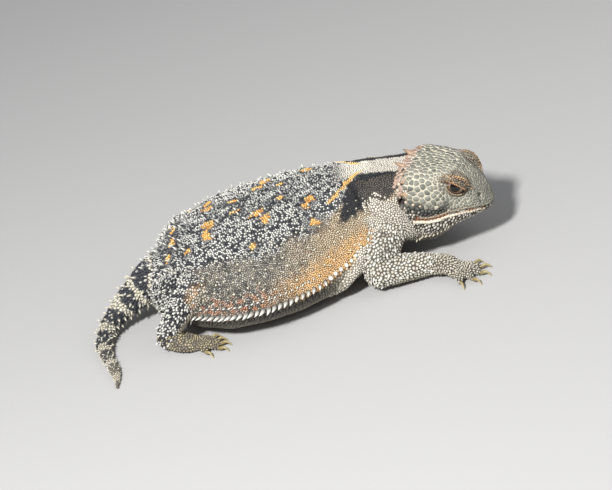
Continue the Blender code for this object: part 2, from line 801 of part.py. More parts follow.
def digit_line(plan, sizes, palm, side, i):
    """Knuckle, arch and tip of one digit, and the direction in which it points."""
    angle = math.radians(plan["heading"] + side * -sizes["spread"][i])
    ahead = Vector((math.cos(angle), math.sin(angle), 0))
    width = sizes["palm_size"][0]
    heading = math.radians(plan["heading"])
    front = palm + Vector((math.cos(heading), math.sin(heading), 0)) * width * 0.35
    length = sizes["digits"][i]
    knuckle = front + ahead * width * 0.45
    knuckle.z = 1.5
    middle = knuckle + ahead * length * 0.5
    middle.z = 1.65
    tip = knuckle + ahead * length
    tip.z = 0.85
    return [front, knuckle, middle, tip], ahead


def make_foot(plan, sizes, wrist, palm, side, parts, cutters):
    width, height = sizes["palm_size"]
    heading = math.radians(plan["heading"])
    ahead = Vector((math.cos(heading), math.sin(heading), 0))
    front = palm + ahead * width * 0.75
    front.z = height * 0.75
    back = wrist - ahead * 1.2
    places = [back, wrist.lerp(palm, 0.35), palm, front, front + ahead * 0.9]
    wide = [1.6, 2.5, width, width * 0.85, width * 0.4]
    tall = [1.4, 2.2, height, height * 0.8, height * 0.4]
    points, widths, heights = smooth_line(places, wide, tall, 8)
    foot = loft("foot", tube_rings(points, widths, heights, LEG_SIDES), parts)
    for i in range(5):
        line, _ = digit_line(plan, sizes, palm, side, i)
        r = (DIGIT_RADIUS, DIGIT_RADIUS, DIGIT_RADIUS, DIGIT_RADIUS * 0.7)
        digit = smooth_line(line, r, r, 6)
        fuse(foot, loft("digit", tube_rings(*digit, DIGIT_SIDES), cutters))
    return foot, (points, widths, heights)


def make_claws(plan, sizes, palm, side, word, parts):
    """Each claw stands a gap ahead of its digit's blunt end."""
    for i in range(5):
        line, ahead = digit_line(plan, sizes, palm, side, i)
        tip = line[-1]
        start = tip + ahead * GAP
        middle = tip + ahead * CLAW_LENGTH * 0.55 + Vector((0, 0, 0.05))
        end = tip + ahead * CLAW_LENGTH
        end.z = 0.12
        r = CLAW_RADIUS
        points, widths, heights = smooth_line([start, middle, end], (r, r * 0.8, 0.1), (r, r * 0.9, 0.12), 4)
        name = f"claw_{sizes['end']}_{word}_{i + 1}"
        claw = loft(name, tube_rings(points, widths, heights, 5), parts)
        finish(claw, name, CLAW_OLIVE, 0.4)


def centre_on_floor(parts):
    """Moves every mesh so that the whole is centred over the origin."""
    corners = [obj.matrix_world @ v.co for obj in parts.objects for v in obj.data.vertices]
    middle = [(min(c[k] for c in corners) + max(c[k] for c in corners)) / 2 for k in range(2)]
    lowest = min(c.z for c in corners)
    shift = Matrix.Translation((-middle[0], -middle[1], -lowest))
    for obj in parts.objects:
        obj.data.transform(shift)
    print("shift", [round(s / MM, 3) for s in (-middle[0], -middle[1], -lowest)])


def main():
    clear_scene()
    parts = make_collection("horned_lizard")
    cutters = make_collection("cutters")
    cutters.hide_render = True
    random.seed(SEED)
    torso = make_trunk(parts)
    head, jaw, head_form = make_head(parts, cutters)
    neck = make_neck(parts, cutters, torso, head_form)
    make_horns(parts, cutters, [head_form, neck])
    make_tail(parts, cutters, torso)
    for place in LEGS:
        make_leg(place, parts, cutters, torso, [neck, head_form])
    fuse(torso, back_spines(cutters))
    fuse(torso, fringe_spines(cutters))
    centre_on_floor(parts)


main()
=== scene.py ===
import math

import bmesh
import bpy
import numpy as np
from mathutils import Matrix, Vector, noise
from mathutils.bvhtree import BVHTree
from mathutils.kdtree import KDTree


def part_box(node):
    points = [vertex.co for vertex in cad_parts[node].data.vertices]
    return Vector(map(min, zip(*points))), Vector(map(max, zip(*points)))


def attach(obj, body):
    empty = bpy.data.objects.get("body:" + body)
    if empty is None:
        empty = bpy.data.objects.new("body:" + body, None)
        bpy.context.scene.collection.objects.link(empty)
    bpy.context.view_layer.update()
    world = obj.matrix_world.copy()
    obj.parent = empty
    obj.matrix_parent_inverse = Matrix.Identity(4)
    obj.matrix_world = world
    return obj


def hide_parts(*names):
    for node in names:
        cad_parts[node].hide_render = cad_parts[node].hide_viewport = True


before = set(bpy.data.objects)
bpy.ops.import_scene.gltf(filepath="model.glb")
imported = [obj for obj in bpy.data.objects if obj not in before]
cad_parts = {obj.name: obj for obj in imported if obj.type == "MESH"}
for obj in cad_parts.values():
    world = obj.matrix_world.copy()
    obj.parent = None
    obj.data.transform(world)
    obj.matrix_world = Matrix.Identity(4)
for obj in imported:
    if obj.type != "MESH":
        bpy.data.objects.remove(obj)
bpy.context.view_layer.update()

# Shapes are worked out in millimetres in the lizard's own frame: head to +X, left side to +Y,
# the floor at 0. coatPiece and finishPiece bring them to metres in the frame of the solids.
mm = 0.001
random = np.random.default_rng(7)
bothSides = ((-1, "right"), (1, "left"))

trunk = {
    "rows": [  # x, height of the side edge, half width, rise above the edge, drop below it
        (-39.5, 8.6, 6.2, 5.4, 5.6), (-37, 8.3, 8.8, 7.4, 7.2), (-32, 8, 15, 11.2, 8.2),
        (-26, 7.8, 20.4, 13.6, 8.4), (-18, 7.8, 24, 14.8, 8.6), (-9, 7.8, 24.2, 15.4, 8.6),
        (0, 8.2, 21.8, 15.6, 8.8), (7, 9.2, 17.6, 15.2, 9.4), (13, 10.8, 14.2, 13.6, 9.8),
        (19, 12.4, 12.4, 11.2, 9.4)],
    "powers": (2.15, 2.25),
}
head = {
    "rows": [  # the same in the head's frame, from its rear to the snout
        (0, 3.4, 9.6, 4, 13.2), (3, 4, 10.5, 4.2, 14.8), (7, 3, 10.2, 5.4, 13.7),
        (10, 2, 9.6, 6.4, 10.8), (12.5, 1.2, 8.9, 6.9, 7.7), (15, 0.2, 7.5, 6.1, 5.1),
        (17.5, -0.8, 5.6, 4.7, 2.8), (19.3, -1.4, 3.7, 2.9, 1.5), (20.3, -1.7, 2, 1.4, 0.8),
        (20.75, -1.75, 0.9, 0.6, 0.35)],
    "powers": (3.6, 2.9),
    "place": (24.6, 0.6, 15.0),
    "turn": (-6.0, 11.0, -19.0),  # roll, pitch and yaw in degrees
    "mouth": [  # forward, up
        (20.4, -1.8), (18, -1.1), (15, -1), (12, -1.4), (10, -2.3), (7.5, -2.8), (5.4, -2.7)],
    "neckStart": 0.985, "neckEnd": 0.12, "neckFit": (1.0, 0.9, 0.92),
}
eye = {
    "place": (13.5, 5.3, 4.7), "radius": 2.45, "length": 4.8, "upper": 0.62, "lower": 1.4,
    "slope": 26.0, "skinRadius": 2.72, "lidReach": (2.9, 2.25, 2.7), "segments": (48, 40),
    "lidSides": 72,
    "lidRings": (-0.1, -0.04, 0, 0.03, 0.06, 0.1, 0.15, 0.22, 0.3, 0.42, 0.56, 0.7, 0.85, 1.0),
    "lidProfile": [  # share of the way out from the opening, distance from the eye's centre
        (-0.12, 2.3), (0, 2.5), (0.05, 2.82), (0.12, 2.96), (0.3, 2.93), (0.65, 2.84), (1, 2.4)],
}
tailRows = [  # x, y, z, half width, half height
    (-35.5, 0, 10.4, 6.6, 6.2), (-39.8, 0, 9.3, 4.9, 4.8), (-43.5, -0.2, 7.4, 4, 3.8),
    (-48, -1.4, 5, 3, 2.8), (-51.6, -5, 3.3, 2.3, 2.1), (-52.9, -10, 2.1, 1.9, 1.7),
    (-51.9, -15.5, 1.4, 1.5, 1.35), (-50.3, -20, 1.1, 1.2, 1.1),
    (-49.3, -24.5, 0.8, 0.9, 0.8), (-49, -28.3, 0.5, 0.4, 0.45)]
legs = {
    "fore_right": {
        "heading": -31, "joints": [(19.2, -9, 12.6), (13.9, -15.6, 4.3), (26.4, -15.6, 3.3)],
        "palm": (30.2, -17.6, 3.1)},
    "fore_left": {
        "heading": 28, "joints": [(18.4, 9, 12), (12.6, 17.4, 4.6), (22, 22.4, 3.1)],
        "palm": (25.6, 24.2, 2.2)},
    "hind_right": {
        "heading": -24, "joints": [(-34, -8, 9), (-27, -18, 14.2), (-37.2, -17.2, 3.2)],
        "palm": (-32.2, -19, 2)},
    "hind_left": {
        "heading": 40, "joints": [(-34, 8, 9), (-28.6, 19, 12), (-43, 12.4, 3)],
        "palm": (-39.2, 16.4, 2)},
}
legSizes = {
    "fore": {
        "upper": (4.2, 4.1, 3.3), "lower": (3.3, 3.2, 2.5), "palm": (2.9, 1.8),
        "digits": (3.6, 4.8, 5.4, 5.2, 3.8), "spread": (52, 27, 3, -21, -48),
        "nodes": ("upper_arm", "forearm", "hand")},
    "hind": {
        "upper": (5, 4.9, 3.5), "lower": (3.4, 3.1, 2.3), "palm": (3, 1.7),
        "digits": (3.4, 4.6, 6, 6.6, 4.4), "spread": (40, 22, 7, -8, -28),
        "nodes": ("thigh", "shank", "foot")},
}
digitRadius = 0.95
claw = {"length": 2.5, "radius": 0.4, "rings": 12, "sides": 10}
skin = {"voxel": 0.39, "inset": 0.2, "smoothing": 4, "floorGap": 0.02, "lumps": 0.16, "wrinkles": 0.07}


def srgb(*levels):
    return np.array([((v / 255 + 0.055) / 1.055) ** 2.4 for v in levels])


colours = {
    "charcoal": srgb(50, 52, 57), "slate": srgb(100, 102, 104), "white": srgb(224, 222, 212),
    "cream": srgb(212, 205, 182), "orange": srgb(226, 160, 80), "yellow": srgb(240, 212, 140),
    "flank": srgb(134, 126, 113), "flankDark": srgb(68, 63, 58), "tan": srgb(196, 172, 136),
    "amber": srgb(240, 186, 116), "rust": srgb(184, 112, 62), "plate": srgb(129, 128, 118),
    "plateDark": srgb(92, 94, 87), "outline": srgb(208, 201, 182), "pink": srgb(206, 160, 140),
    "brow": srgb(200, 164, 116), "brown": srgb(80, 66, 53), "black": srgb(24, 23, 24),
    "throat": srgb(236, 230, 216), "arm": srgb(206, 199, 182), "armDark": srgb(92, 85, 75),
    "foot": srgb(192, 180, 144), "belly": srgb(190, 182, 164), "knee": srgb(210, 170, 128),
    "hornBase": srgb(188, 160, 134), "hornTip": srgb(122, 96, 76), "rim": srgb(192, 138, 92),
    "shoulder": srgb(112, 103, 94), "eyelid": srgb(150, 138, 120), "pinkDull": srgb(200, 182, 162),
}


def unit(vectors):
    return vectors / np.maximum(np.linalg.norm(vectors, axis=-1, keepdims=True), 1e-9)


def ramp(value, low, high):
    share = np.clip((value - low) / (high - low), 0, 1)
    return share * share * (3 - 2 * share)


def mix(colour, other, share):
    # Colours are given by name or by level
    colour, other = (colours[c] if isinstance(c, str) else c for c in (colour, other))
    share = np.asarray(share)[..., None]
    return colour * (1 - share) + other * share


def cloud(places, size, seed):
    # Smooth noise from about -1 to 1
    offset = Vector((seed * 17.3, seed * 5.1, seed * 9.7))
    return np.array([noise.noise(Vector(p) / size + offset) for p in places.tolist()]) * 1.6


def rowsAt(rows, t):
    # A smooth value between rows of numbers
    rows = np.asarray(rows, float)
    place = np.clip(t, 0, 1) * (len(rows) - 1)
    i = np.minimum(place.astype(int), len(rows) - 2)
    f = (place - i)[:, None]
    a = rows[np.maximum(i - 1, 0)]
    b = rows[i]
    c = rows[i + 1]
    d = rows[np.minimum(i + 2, len(rows) - 1)]
    return 0.5 * (2 * b + (c - a) * f + (2 * a - 5 * b + 4 * c - d) * f * f
                  + (3 * b - a - 3 * c + d) * f ** 3)


def roundAngles(count):
    return np.arange(count) * 2 * math.pi / count


def bent(value, power):
    return np.sign(value) * np.abs(value) ** (2 / power)


def ovalPoints(rows, powers, t, angle):
    along, edge, half, rise, drop = rowsAt(rows, t).T
    upper = np.sin(angle) >= 0
    power = np.where(upper, powers[0], powers[1])
    height = edge + np.where(upper, rise, drop) * bent(np.sin(angle), power)
    return np.column_stack([along, half * bent(np.cos(angle), power), height])


roll, pitch, yaw = (math.radians(v) for v in head["turn"])
headMatrix = (Matrix.Translation(head["place"]) @ Matrix.Rotation(yaw, 4, "Z")
              @ Matrix.Rotation(pitch, 4, "Y") @ Matrix.Rotation(roll, 4, "X"))


def moved(matrix, points):
    full = np.array(matrix)
    return points @ full[:3, :3].T + full[:3, 3]


def turned(matrix, vectors):
    return vectors @ np.array(matrix)[:3, :3].T


def trunkPoints(t, angle):
    return ovalPoints(trunk["rows"], trunk["powers"], t, angle)


def headPoints(t, angle):
    return moved(headMatrix, ovalPoints(head["rows"], head["powers"], t, angle))


def neckPoints(t, angle):
    ones = np.ones_like(t)
    first = trunkPoints(ones * head["neckStart"], angle)
    last = ovalPoints(head["rows"], head["powers"], ones * head["neckEnd"], angle)
    last = moved(headMatrix, last * head["neckFit"])
    return first + (last - first) * ramp(t, 0, 1)[:, None]


def tubePoints(rows, up):
    def points(t, angle):
        row = rowsAt(rows, t)
        ahead = unit((rowsAt(rows, t + 0.02) - rowsAt(rows, t - 0.02))[:, :3])
        side = unit(np.cross(up, ahead))
        over = np.cross(ahead, side)
        wide = (row[:, 3] * np.cos(angle))[:, None]
        tall = (row[:, 4] * np.sin(angle))[:, None]
        return row[:, :3] + side * wide + over * tall
    return points


def sided(place, side):
    return np.array([place[0], place[1] * side, place[2]])


def directionAt(degrees):
    return np.array([math.cos(math.radians(degrees)), math.sin(math.radians(degrees)), 0])


def limbRows(start, end, radii, bow):
    line = unit(end - start)
    places = [start - line * radii[0] * 0.55, start, (start + end) / 2 + bow, end,
              end + line * radii[2] * 0.8]
    sizes = [radii[0] * 0.55, radii[0], radii[1], radii[2], radii[2] * 0.45]
    return [(*p, r, r) for p, r in zip(places, sizes)]


def footRows(plan, sizes):
    wrist = np.array(plan["joints"][2], float)
    palm = np.array(plan["palm"], float)
    ahead = directionAt(plan["heading"])
    width, height = sizes["palm"]
    front = palm + ahead * width * 0.75
    front[2] = height * 0.75
    places = [wrist - ahead * 1.2, wrist + (palm - wrist) * 0.35, palm, front, front + ahead * 0.9]
    wide = [1.6, 2.5, width, width * 0.85, width * 0.4]
    tall = [1.4, 2.2, height, height * 0.8, height * 0.4]
    return [(*p, w, h) for p, w, h in zip(places, wide, tall)]


def digitLine(plan, sizes, side, i):
    # Root, knuckle, arch and tip of a digit
    ahead = directionAt(plan["heading"] - side * sizes["spread"][i])
    width = sizes["palm"][0]
    front = np.array(plan["palm"]) + directionAt(plan["heading"]) * width * 0.35
    line = [front]
    for reach, height in ((0, 1.5), (0.5, 1.65), (1, 0.85)):
        place = front + ahead * (width * 0.45 + sizes["digits"][i] * reach)
        place[2] = height
        line.append(place)
    return line, ahead


upright = np.array([0, 0, 1.0])
forms = {}


def addForm(name, points, rings, sides, flow, kind):
    forms[name] = {"name": name, "points": points, "rings": rings, "sides": sides,
                   "flow": flow, "kind": kind, "index": len(forms)}


def addForms():
    addForm("trunk", trunkPoints, 70, 128, -1, "trunk")
    addForm("neck", neckPoints, 20, 96, -1, "neck")
    addForm("head", headPoints, 64, 112, -1, "head")
    addForm("tail", tubePoints(tailRows, upright), 80, 32, 1, "tail")
    for place, plan in legs.items():
        kind, word = place.split("_")
        side = -1 if word == "right" else 1
        sizes = legSizes[kind]
        root, bend, wrist = (np.array(p, float) for p in plan["joints"])
        bow = np.array([0, side * 0.8, 0.6])
        lengths = (("upper", root, bend, bow), ("lower", bend, wrist, upright * 0.3))
        for part, start, end, lift in lengths:
            up = upright if abs(unit(end - start)[2]) < 0.8 else np.array([1.0, 0, 0])
            rows = limbRows(start, end, sizes[part], lift)
            addForm(f"{part}_{place}", tubePoints(rows, up), 30, 36, 1, kind + part.title())
        addForm(f"palm_{place}", tubePoints(footRows(plan, sizes), upright), 20, 32, 1, kind + "Foot")
        for i in range(5):
            line, _ = digitLine(plan, sizes, side, i)
            radii = [digitRadius, digitRadius, digitRadius, digitRadius * 0.7]
            rows = [(*p, r, r) for p, r in zip(line, radii)]
            addForm(f"digit_{place}_{i}", tubePoints(rows, upright), 16, 14, 1, kind + "Digit")


# The eye's own axes in the head's frame: forward and down along the lids, up across them, out
def eyeAxes(side):
    slope = math.radians(eye["slope"])
    out = unit(np.array([0.15, side, 0.1]))
    along = np.array([math.cos(slope), 0, -math.sin(slope)])
    along = unit(along - out * (along @ out))
    over = np.cross(out, along)
    over = over * np.sign(over[2])
    return along, over, out


def headLocal(points):
    return moved(headMatrix.inverted(), points)


browRidge = {
    "points": [(17.4, 4.5, 3.2), (16.2, 5.7, 4.9), (15, 6.6, 6.1), (13.3, 7.1, 6.7), (11.2, 7.5, 6.8),
               (9.6, 7.9, 6.6)],
    "radii": (0.4, 0.6, 0.75, 0.8, 0.75, 0.4),
}
folds = {  # x, y, z and radius of ridges of loose skin, on the side that the camera sees
    "pouch": [(16.6, -8.6, 20.0, 1.5), (17.8, -10.0, 17.8, 2.9), (20.6, -10.9, 14.4, 3.1),
              (23.8, -8.8, 9.4, 2.6), (25.8, -6.6, 6.2, 1.1)],
    "armpit": [(12.8, -14.7, 12.0, 0.9), (11.2, -16.0, 8.8, 1.35), (8.0, -16.5, 5.8, 1.45),
               (4.2, -16.4, 3.6, 1.3), (0.6, -15.4, 2.2, 0.7)],
    "throat": [(25.6, -7.8, 7.4, 0.9), (26.6, -3.6, 5.2, 1.3), (26.8, 0.4, 4.6, 1.3), (26.4, 4.4, 5.2, 1.1),
               (25.4, 8.2, 7.4, 0.8)],
}
creases = [  # grooves: points along them, then half width and depth
    {"line": [(13.2, 5.2, 24.2), (14.0, 7.0, 22.9), (15.0, 10.2, 20.2), (16.4, 12.4, 17.2)], "width": 0.7,
     "depth": 0.55},
    {"line": [(15.6, 13.2, 15.6), (14.6, 14.2, 12.6), (12.0, 15.6, 8.4)], "width": 0.7, "depth": 0.6},
    {"line": [(-24.0, 17.2, 17.0), (-23.2, 20.2, 14.0), (-24.0, 21.6, 10.8)], "width": 1.0, "depth": 0.35},
]


def addFolds():
    # Ridges that join the skin: brows, and folds of loose skin at the neck and the armpits
    for side, word in bothSides:
        rows = [(*moved(headMatrix, sided(p, side)), r, r)
                for p, r in zip(browRidge["points"], browRidge["radii"])]
        addForm(f"brow_{word}", tubePoints(rows, upright), 24, 16, -1, "brow")
        for name, line in folds.items():
            if name == "throat" and side > 0:
                continue
            across = 1 if name == "throat" else -side
            rows = [(x, y * across, z, r, r) for x, y, z, r in line]
            addForm(f"{name}_{word}", tubePoints(rows, np.array([1.0, 0, 0])), 24, 20, -1, "fold")


def addLidForms():
    # The lids outside their rims, where small scales grow
    for side, word in bothSides:
        def points(t, angle, side=side):
            return lidSurface(side, angle, 0.1 + 0.75 * t)
        addForm(f"lid_{word}", points, 0, 0, -1, "lid")


def addRing(bm, places, before, capped=False):
    # A circle shaped to the places and bridged to the ring before it
    verts = bmesh.ops.create_circle(bm, cap_ends=capped, segments=len(places), radius=1)["verts"]
    for vert, place in zip(verts, places):
        vert.co = place
    ring = {e for v in verts for e in v.link_edges}
    if before:
        bmesh.ops.bridge_loops(bm, edges=list(before | ring))
        ring = {e for e in ring if e.is_valid}
    return ring, verts


def formMesh(bm, form):
    angles = roundAngles(form["sides"])
    ring = None
    for i in range(form["rings"] + 1):
        places = form["points"](np.full(form["sides"], i / form["rings"]), angles)
        ring, _ = addRing(bm, places, ring, i in (0, form["rings"]))


def added(name, data):
    obj = bpy.data.objects.new(name, data)
    bpy.context.scene.collection.objects.link(obj)
    return obj


def meshObject(name, bm):
    mesh = bpy.data.meshes.new(name)
    bm.to_mesh(mesh)
    bm.free()
    return added(name, mesh)


def readVertices(mesh, key):
    flat = np.zeros(len(mesh.vertices) * 3, np.float32)
    mesh.vertices.foreach_get(key, flat)
    return flat.reshape(-1, 3).astype(float)


def readPoints(mesh):
    return readVertices(mesh, "co")


def writePoints(mesh, places):
    mesh.vertices.foreach_set("co", places.astype(np.float32).ravel())
    mesh.update()


def applied(obj):
    graph = bpy.context.evaluated_depsgraph_get()
    made = bpy.data.meshes.new_from_object(obj.evaluated_get(graph))
    obj.modifiers.clear()
    obj.data = made


def makeSkin():
    bm = bmesh.new()
    for form in forms.values():
        formMesh(bm, form)
    bmesh.ops.recalc_face_normals(bm, faces=bm.faces)
    obj = meshObject("skin", bm)
    remesh = obj.modifiers.new("remesh", "REMESH")
    remesh.mode = "VOXEL"
    remesh.voxel_size = skin["voxel"]
    applied(obj)
    bm = bmesh.new()
    bm.from_mesh(obj.data)
    for _ in range(skin["smoothing"]):
        bmesh.ops.smooth_vert(bm, verts=bm.verts, factor=0.5,
                              use_axis_x=True, use_axis_y=True, use_axis_z=True)
    bm.to_mesh(obj.data)
    bm.free()
    normals = readVertices(obj.data, "normal")
    places = readPoints(obj.data)
    uneven = skin["lumps"] * cloud(places, 4.5, 11) + skin["wrinkles"] * cloud(places, 1.6, 12)
    places += normals * (uneven - skin["inset"])[:, None]
    places = creased(places, normals)
    places = sculptHead(places, normals)
    places[:, 2] = np.maximum(places[:, 2], skin["floorGap"])
    writePoints(obj.data, places)
    return obj


def apartFrom(places, line):
    # Distance from each place to a line of points
    line = np.array(line, float)
    best = np.full(len(places), 99.0)
    for a, b in zip(line[:-1], line[1:]):
        along = np.clip(((places - a) @ (b - a)) / ((b - a) @ (b - a)), 0, 1)
        best = np.minimum(best, np.linalg.norm(places - a - along[:, None] * (b - a), axis=1))
    return best


def creased(places, normals):
    for crease in creases:
        for side in (-1, 1):
            line = [sided(p, side) for p in crease["line"]]
            share = 1 - ramp(apartFrom(places, line), 0.15 * crease["width"], 1.6 * crease["width"])
            places = places - normals * (crease["depth"] * share)[:, None]
    return places


def mouthHeight(u):
    path = np.array(head["mouth"])[::-1]
    return np.interp(u, path[:, 0], path[:, 1])


nostril = {"forward": 18.7, "up": 1.7, "radius": 0.8, "depth": 1.0}
ear = {"place": (1.9, 10.0, 1.9), "radii": (1.0, 1.7, 1.5), "depth": 1.4}


def holes(side):
    # Middles and radii of a nostril and an ear opening
    u, w = np.array([nostril["forward"]]), np.array([nostril["up"]])
    place = headPoints(station(head["rows"], u), headAngle(u, w, side))
    return ((headLocal(place)[0], np.full(3, nostril["radius"])), (sided(ear["place"], side), ear["radii"]))


def inOpening(a, b, grow):
    # Whether places on the eye's own plane lie in the opening of the lids
    tall = np.where(b > 0, eye["upper"], eye["lower"]) + grow
    return (a / (eye["length"] / 2 + grow)) ** 2 + (b / tall) ** 2 < 1


def sculptHead(places, normals):
    # Skin drawn over the eyes, nostrils, ear openings and the groove of the mouth
    local = headLocal(places)
    inward = -turned(headMatrix.inverted(), normals)
    for side in (-1, 1):
        along, over, out = eyeAxes(side)
        centre = sided(eye["place"], side)
        off = local - centre
        away = np.linalg.norm(off, axis=1)
        a, b, n = off @ along, off @ over, off @ out
        cover = (away < eye["skinRadius"]) & (n > -1)
        local[cover] = (centre + off / away[:, None] * eye["skinRadius"])[cover]
        reach, up, down = eye["lidReach"]
        beyond = np.hypot(a / (reach + 0.1), b / (np.where(b > 0, up, down) + 0.1)) - 0.95
        cap = eye["skinRadius"] + 3 * np.maximum(beyond, 0) + 2 * np.maximum(b - 0.5, 0)
        high = (away > cap) & (n > 0) & (away < 5)
        local[high] = (centre + off / away[:, None] * cap[:, None])[high]
        under = inOpening(a, b, 0.25) & (n > 0) & (away < 4.5)
        local[under] = (centre + off / away[:, None] * 2.0)[under]
        for (middle, radii), depth in zip(holes(side), (nostril["depth"], ear["depth"])):
            dent = np.linalg.norm((local - middle) / radii, axis=1)
            local += inward * (depth * (1 - ramp(dent, 0.35, 1)))[:, None]
    u, _, w = local.T
    off = np.abs(w - mouthHeight(u)) / 0.42
    inside = (u > 5.4) & (u < 21)
    local += inward * (0.42 * (1 - ramp(off, 0, 1)) * inside)[:, None]
    return moved(headMatrix, local)


def lidSurface(side, theta, share):
    # From the opening, share 0, out to where the lids dip under the skin, share 1
    along, over, out = eyeAxes(side)
    slant = np.sin(theta)
    tall = np.where(slant > 0, eye["upper"], eye["lower"])
    reach, up, down = eye["lidReach"]
    inner = np.column_stack([eye["length"] / 2 * np.cos(theta), tall * slant])
    outer = np.column_stack([reach * np.cos(theta), np.where(slant > 0, up, down) * slant])
    flat = inner + (outer - inner) * share[:, None]
    shares, radii = zip(*eye["lidProfile"])
    rise = np.interp(share, shares, radii)
    deep = np.sqrt(np.maximum(rise ** 2 - (flat ** 2).sum(1), 0.1))
    centre = sided(eye["place"], side)
    return moved(headMatrix, centre + flat[:, :1] * along + flat[:, 1:] * over + deep[:, None] * out)


def makeLids(side, word):
    # Both lids are one band round the opening, closed at the back by a last strip
    bm = bmesh.new()
    count, shares = eye["lidSides"], eye["lidRings"]
    theta = roundAngles(count)
    ring = innermost = None
    for share in shares:
        ring, _ = addRing(bm, lidSurface(side, theta, np.full(count, share)), ring)
        innermost = innermost or ring
    bmesh.ops.bridge_loops(bm, edges=list(innermost | ring))
    bmesh.ops.recalc_face_normals(bm, faces=bm.faces)
    obj = meshObject(f"eyelids_{word}", bm)
    rimShare = np.repeat(np.array(shares), count)
    above = np.tile(ramp(np.sin(theta), -0.2, 0.3), len(shares))
    tint = mix(colours["brown"] * 0.3, "rim", above)
    tint = mix(colours["black"] * np.ones_like(tint), tint, ramp(rimShare, -0.03, 0.01))
    tint = mix(tint, colours["brown"] * 0.7, ramp(rimShare, 0.05, 0.1))
    paintMesh(obj.data, tint)
    return obj


def surfaceOf(obj):
    return readPoints(obj.data), [tuple(p.vertices) for p in obj.data.polygons]


def treeOf(places, faces):
    return BVHTree.FromPolygons([Vector(p) for p in places], faces)


def openTo(tree, places, centre):
    # Whether a ray from each place, straight out from the centre, misses the surface in the tree
    found = []
    for place in places:
        out = Vector(unit(place - centre))
        found.append(tree.ray_cast(Vector(place) + out * 0.01, out, 3)[0] is None)
    return np.array(found, bool)


def addBare(points, faces, morePoints, moreFaces, bare):
    # Adds the faces whose corners are all bare
    first = len(points)
    points.extend(morePoints)
    faces.extend(tuple(first + v for v in face) for face in moreFaces if bare[list(face)].all())


def slopes(form, t, angle, step=0.004):
    # Short steps round and along a form
    points = form["points"]
    across = points(t, angle + step) - points(t, angle - step)
    along = points(np.minimum(t + step, 1), angle) - points(np.maximum(t - step, 0), angle)
    return across, along, 2 * step


def growTree(skinPiece, lidPieces):
    # Scales stand on the skin and the lids wherever neither hides the other
    points, faces = [], []
    skinSpots, skinFaces = surfaceOf(skinPiece)
    skinBare = np.ones(len(skinSpots), bool)
    for side, word in bothSides:
        centre = moved(headMatrix, sided(eye["place"], side))
        lidSpots, lidFaces = surfaceOf(lidPieces[word])
        near = np.linalg.norm(skinSpots - centre, axis=1) < 4
        skinBare[near] = openTo(treeOf(lidSpots, lidFaces), skinSpots[near], centre)
        bare = openTo(treeOf(skinSpots, skinFaces), lidSpots, centre)
        bare &= np.linalg.norm(lidSpots - centre, axis=1) > eye["radius"] + 0.15
        addBare(points, faces, lidSpots, lidFaces, bare)
    addBare(points, faces, skinSpots, skinFaces, skinBare)
    return treeOf(points, faces)


def candidatesOn(form, density):
    # Random places spread evenly over a form, with the direction in which its scales lie
    probes = 4096
    t = random.random(probes)
    angle = random.random(probes) * 2 * math.pi
    across, along, width = slopes(form, t, angle)
    patch = np.linalg.norm(np.cross(across, along), axis=1)
    area = patch.mean() / width ** 2 * 2 * math.pi
    tries = int(int(area * density) * patch.max() / patch.mean() * 1.02)
    t = random.random(tries)
    angle = random.random(tries) * 2 * math.pi
    across, along, _ = slopes(form, t, angle)
    size = np.linalg.norm(np.cross(across, along), axis=1)
    kept = random.random(tries) < size / patch.max()
    return {
        "place": form["points"](t[kept], angle[kept]),
        "flow": unit(along[kept]) * form["flow"],
        "t": t[kept], "angle": angle[kept],
        "form": np.full(kept.sum(), form["index"]),
    }


def joined(groups):
    return {key: np.concatenate([g[key] for g in groups]) for key in groups[0]}


def chosen(group, mask):
    return {key: value[mask] for key, value in group.items()}


def clearOfEyes(group, grow=0.2):
    # Leaves out what would grow in the openings of the lids
    local = headLocal(group["place"])
    keep = np.ones(len(local), bool)
    for side in (-1, 1):
        along, over, out = eyeAxes(side)
        off = local - sided(eye["place"], side)
        keep &= ~(inOpening(off @ along, off @ over, grow) & (off @ out > 0) & (off @ out < 6))
    return chosen(group, keep)


def clearOfHoles(group):
    # Leaves out what would grow in the nostrils and the ears
    local = headLocal(group["place"])
    keep = np.ones(len(local), bool)
    for side in (-1, 1):
        for middle, radii in holes(side):
            keep &= np.linalg.norm((local - middle) / radii, axis=1) > 0.66
    return chosen(group, keep)


def pointTree(places):
    tree = KDTree(len(places))
    for i, p in enumerate(places):
        tree.insert(p, i)
    tree.balance()
    return tree


def alongSkin(flow, normal):
    return unit(flow - normal * (flow * normal).sum(1, keepdims=True))


snapLimits = {"head": 1.9, "brow": 1.9, "lid": 0.5}


def snapped(group, tree, limit):
    # Puts each place on the skin, with the skin's own outward direction
    limits = [snapLimits.get(kind, limit) for kind in formKinds(group).tolist()]
    places = group["place"].copy()
    normals = np.zeros_like(places)
    near = np.zeros(len(places), bool)
    for i, p in enumerate(places.tolist()):
        spot, normal, _, apart = tree.find_nearest(p)
        if apart < limits[i]:
            near[i] = True
            places[i] = spot
            normals[i] = normal
    group = chosen(dict(group, place=places, normal=normals), near)
    group["flow"] = alongSkin(group["flow"], group["normal"])
    return group


def thinned(group, first):
    # Goes through the places, the first ones in order and the rest at random, and keeps each
    # that no kept one has already cleared
    places = group["place"].tolist()
    n = len(places)
    tree = pointTree(places)
    alive = np.ones(n, bool)
    kept = []
    order = np.concatenate([np.arange(first), first + random.permutation(n - first)])
    spacing = group["spacing"]
    for i in order.tolist():
        if alive[i]:
            kept.append(i)
            for _, j, _ in tree.find_range(places[i], spacing[i]):
                alive[j] = False
    return chosen(group, np.array(sorted(kept)))


def formKinds(group):
    kinds = np.array([f["kind"] for f in forms.values()])
    return kinds[group["form"]]


backEdge, flankEdge, bellyEdge = 0.5, 0.8, 1.02  # as sideShare measures them


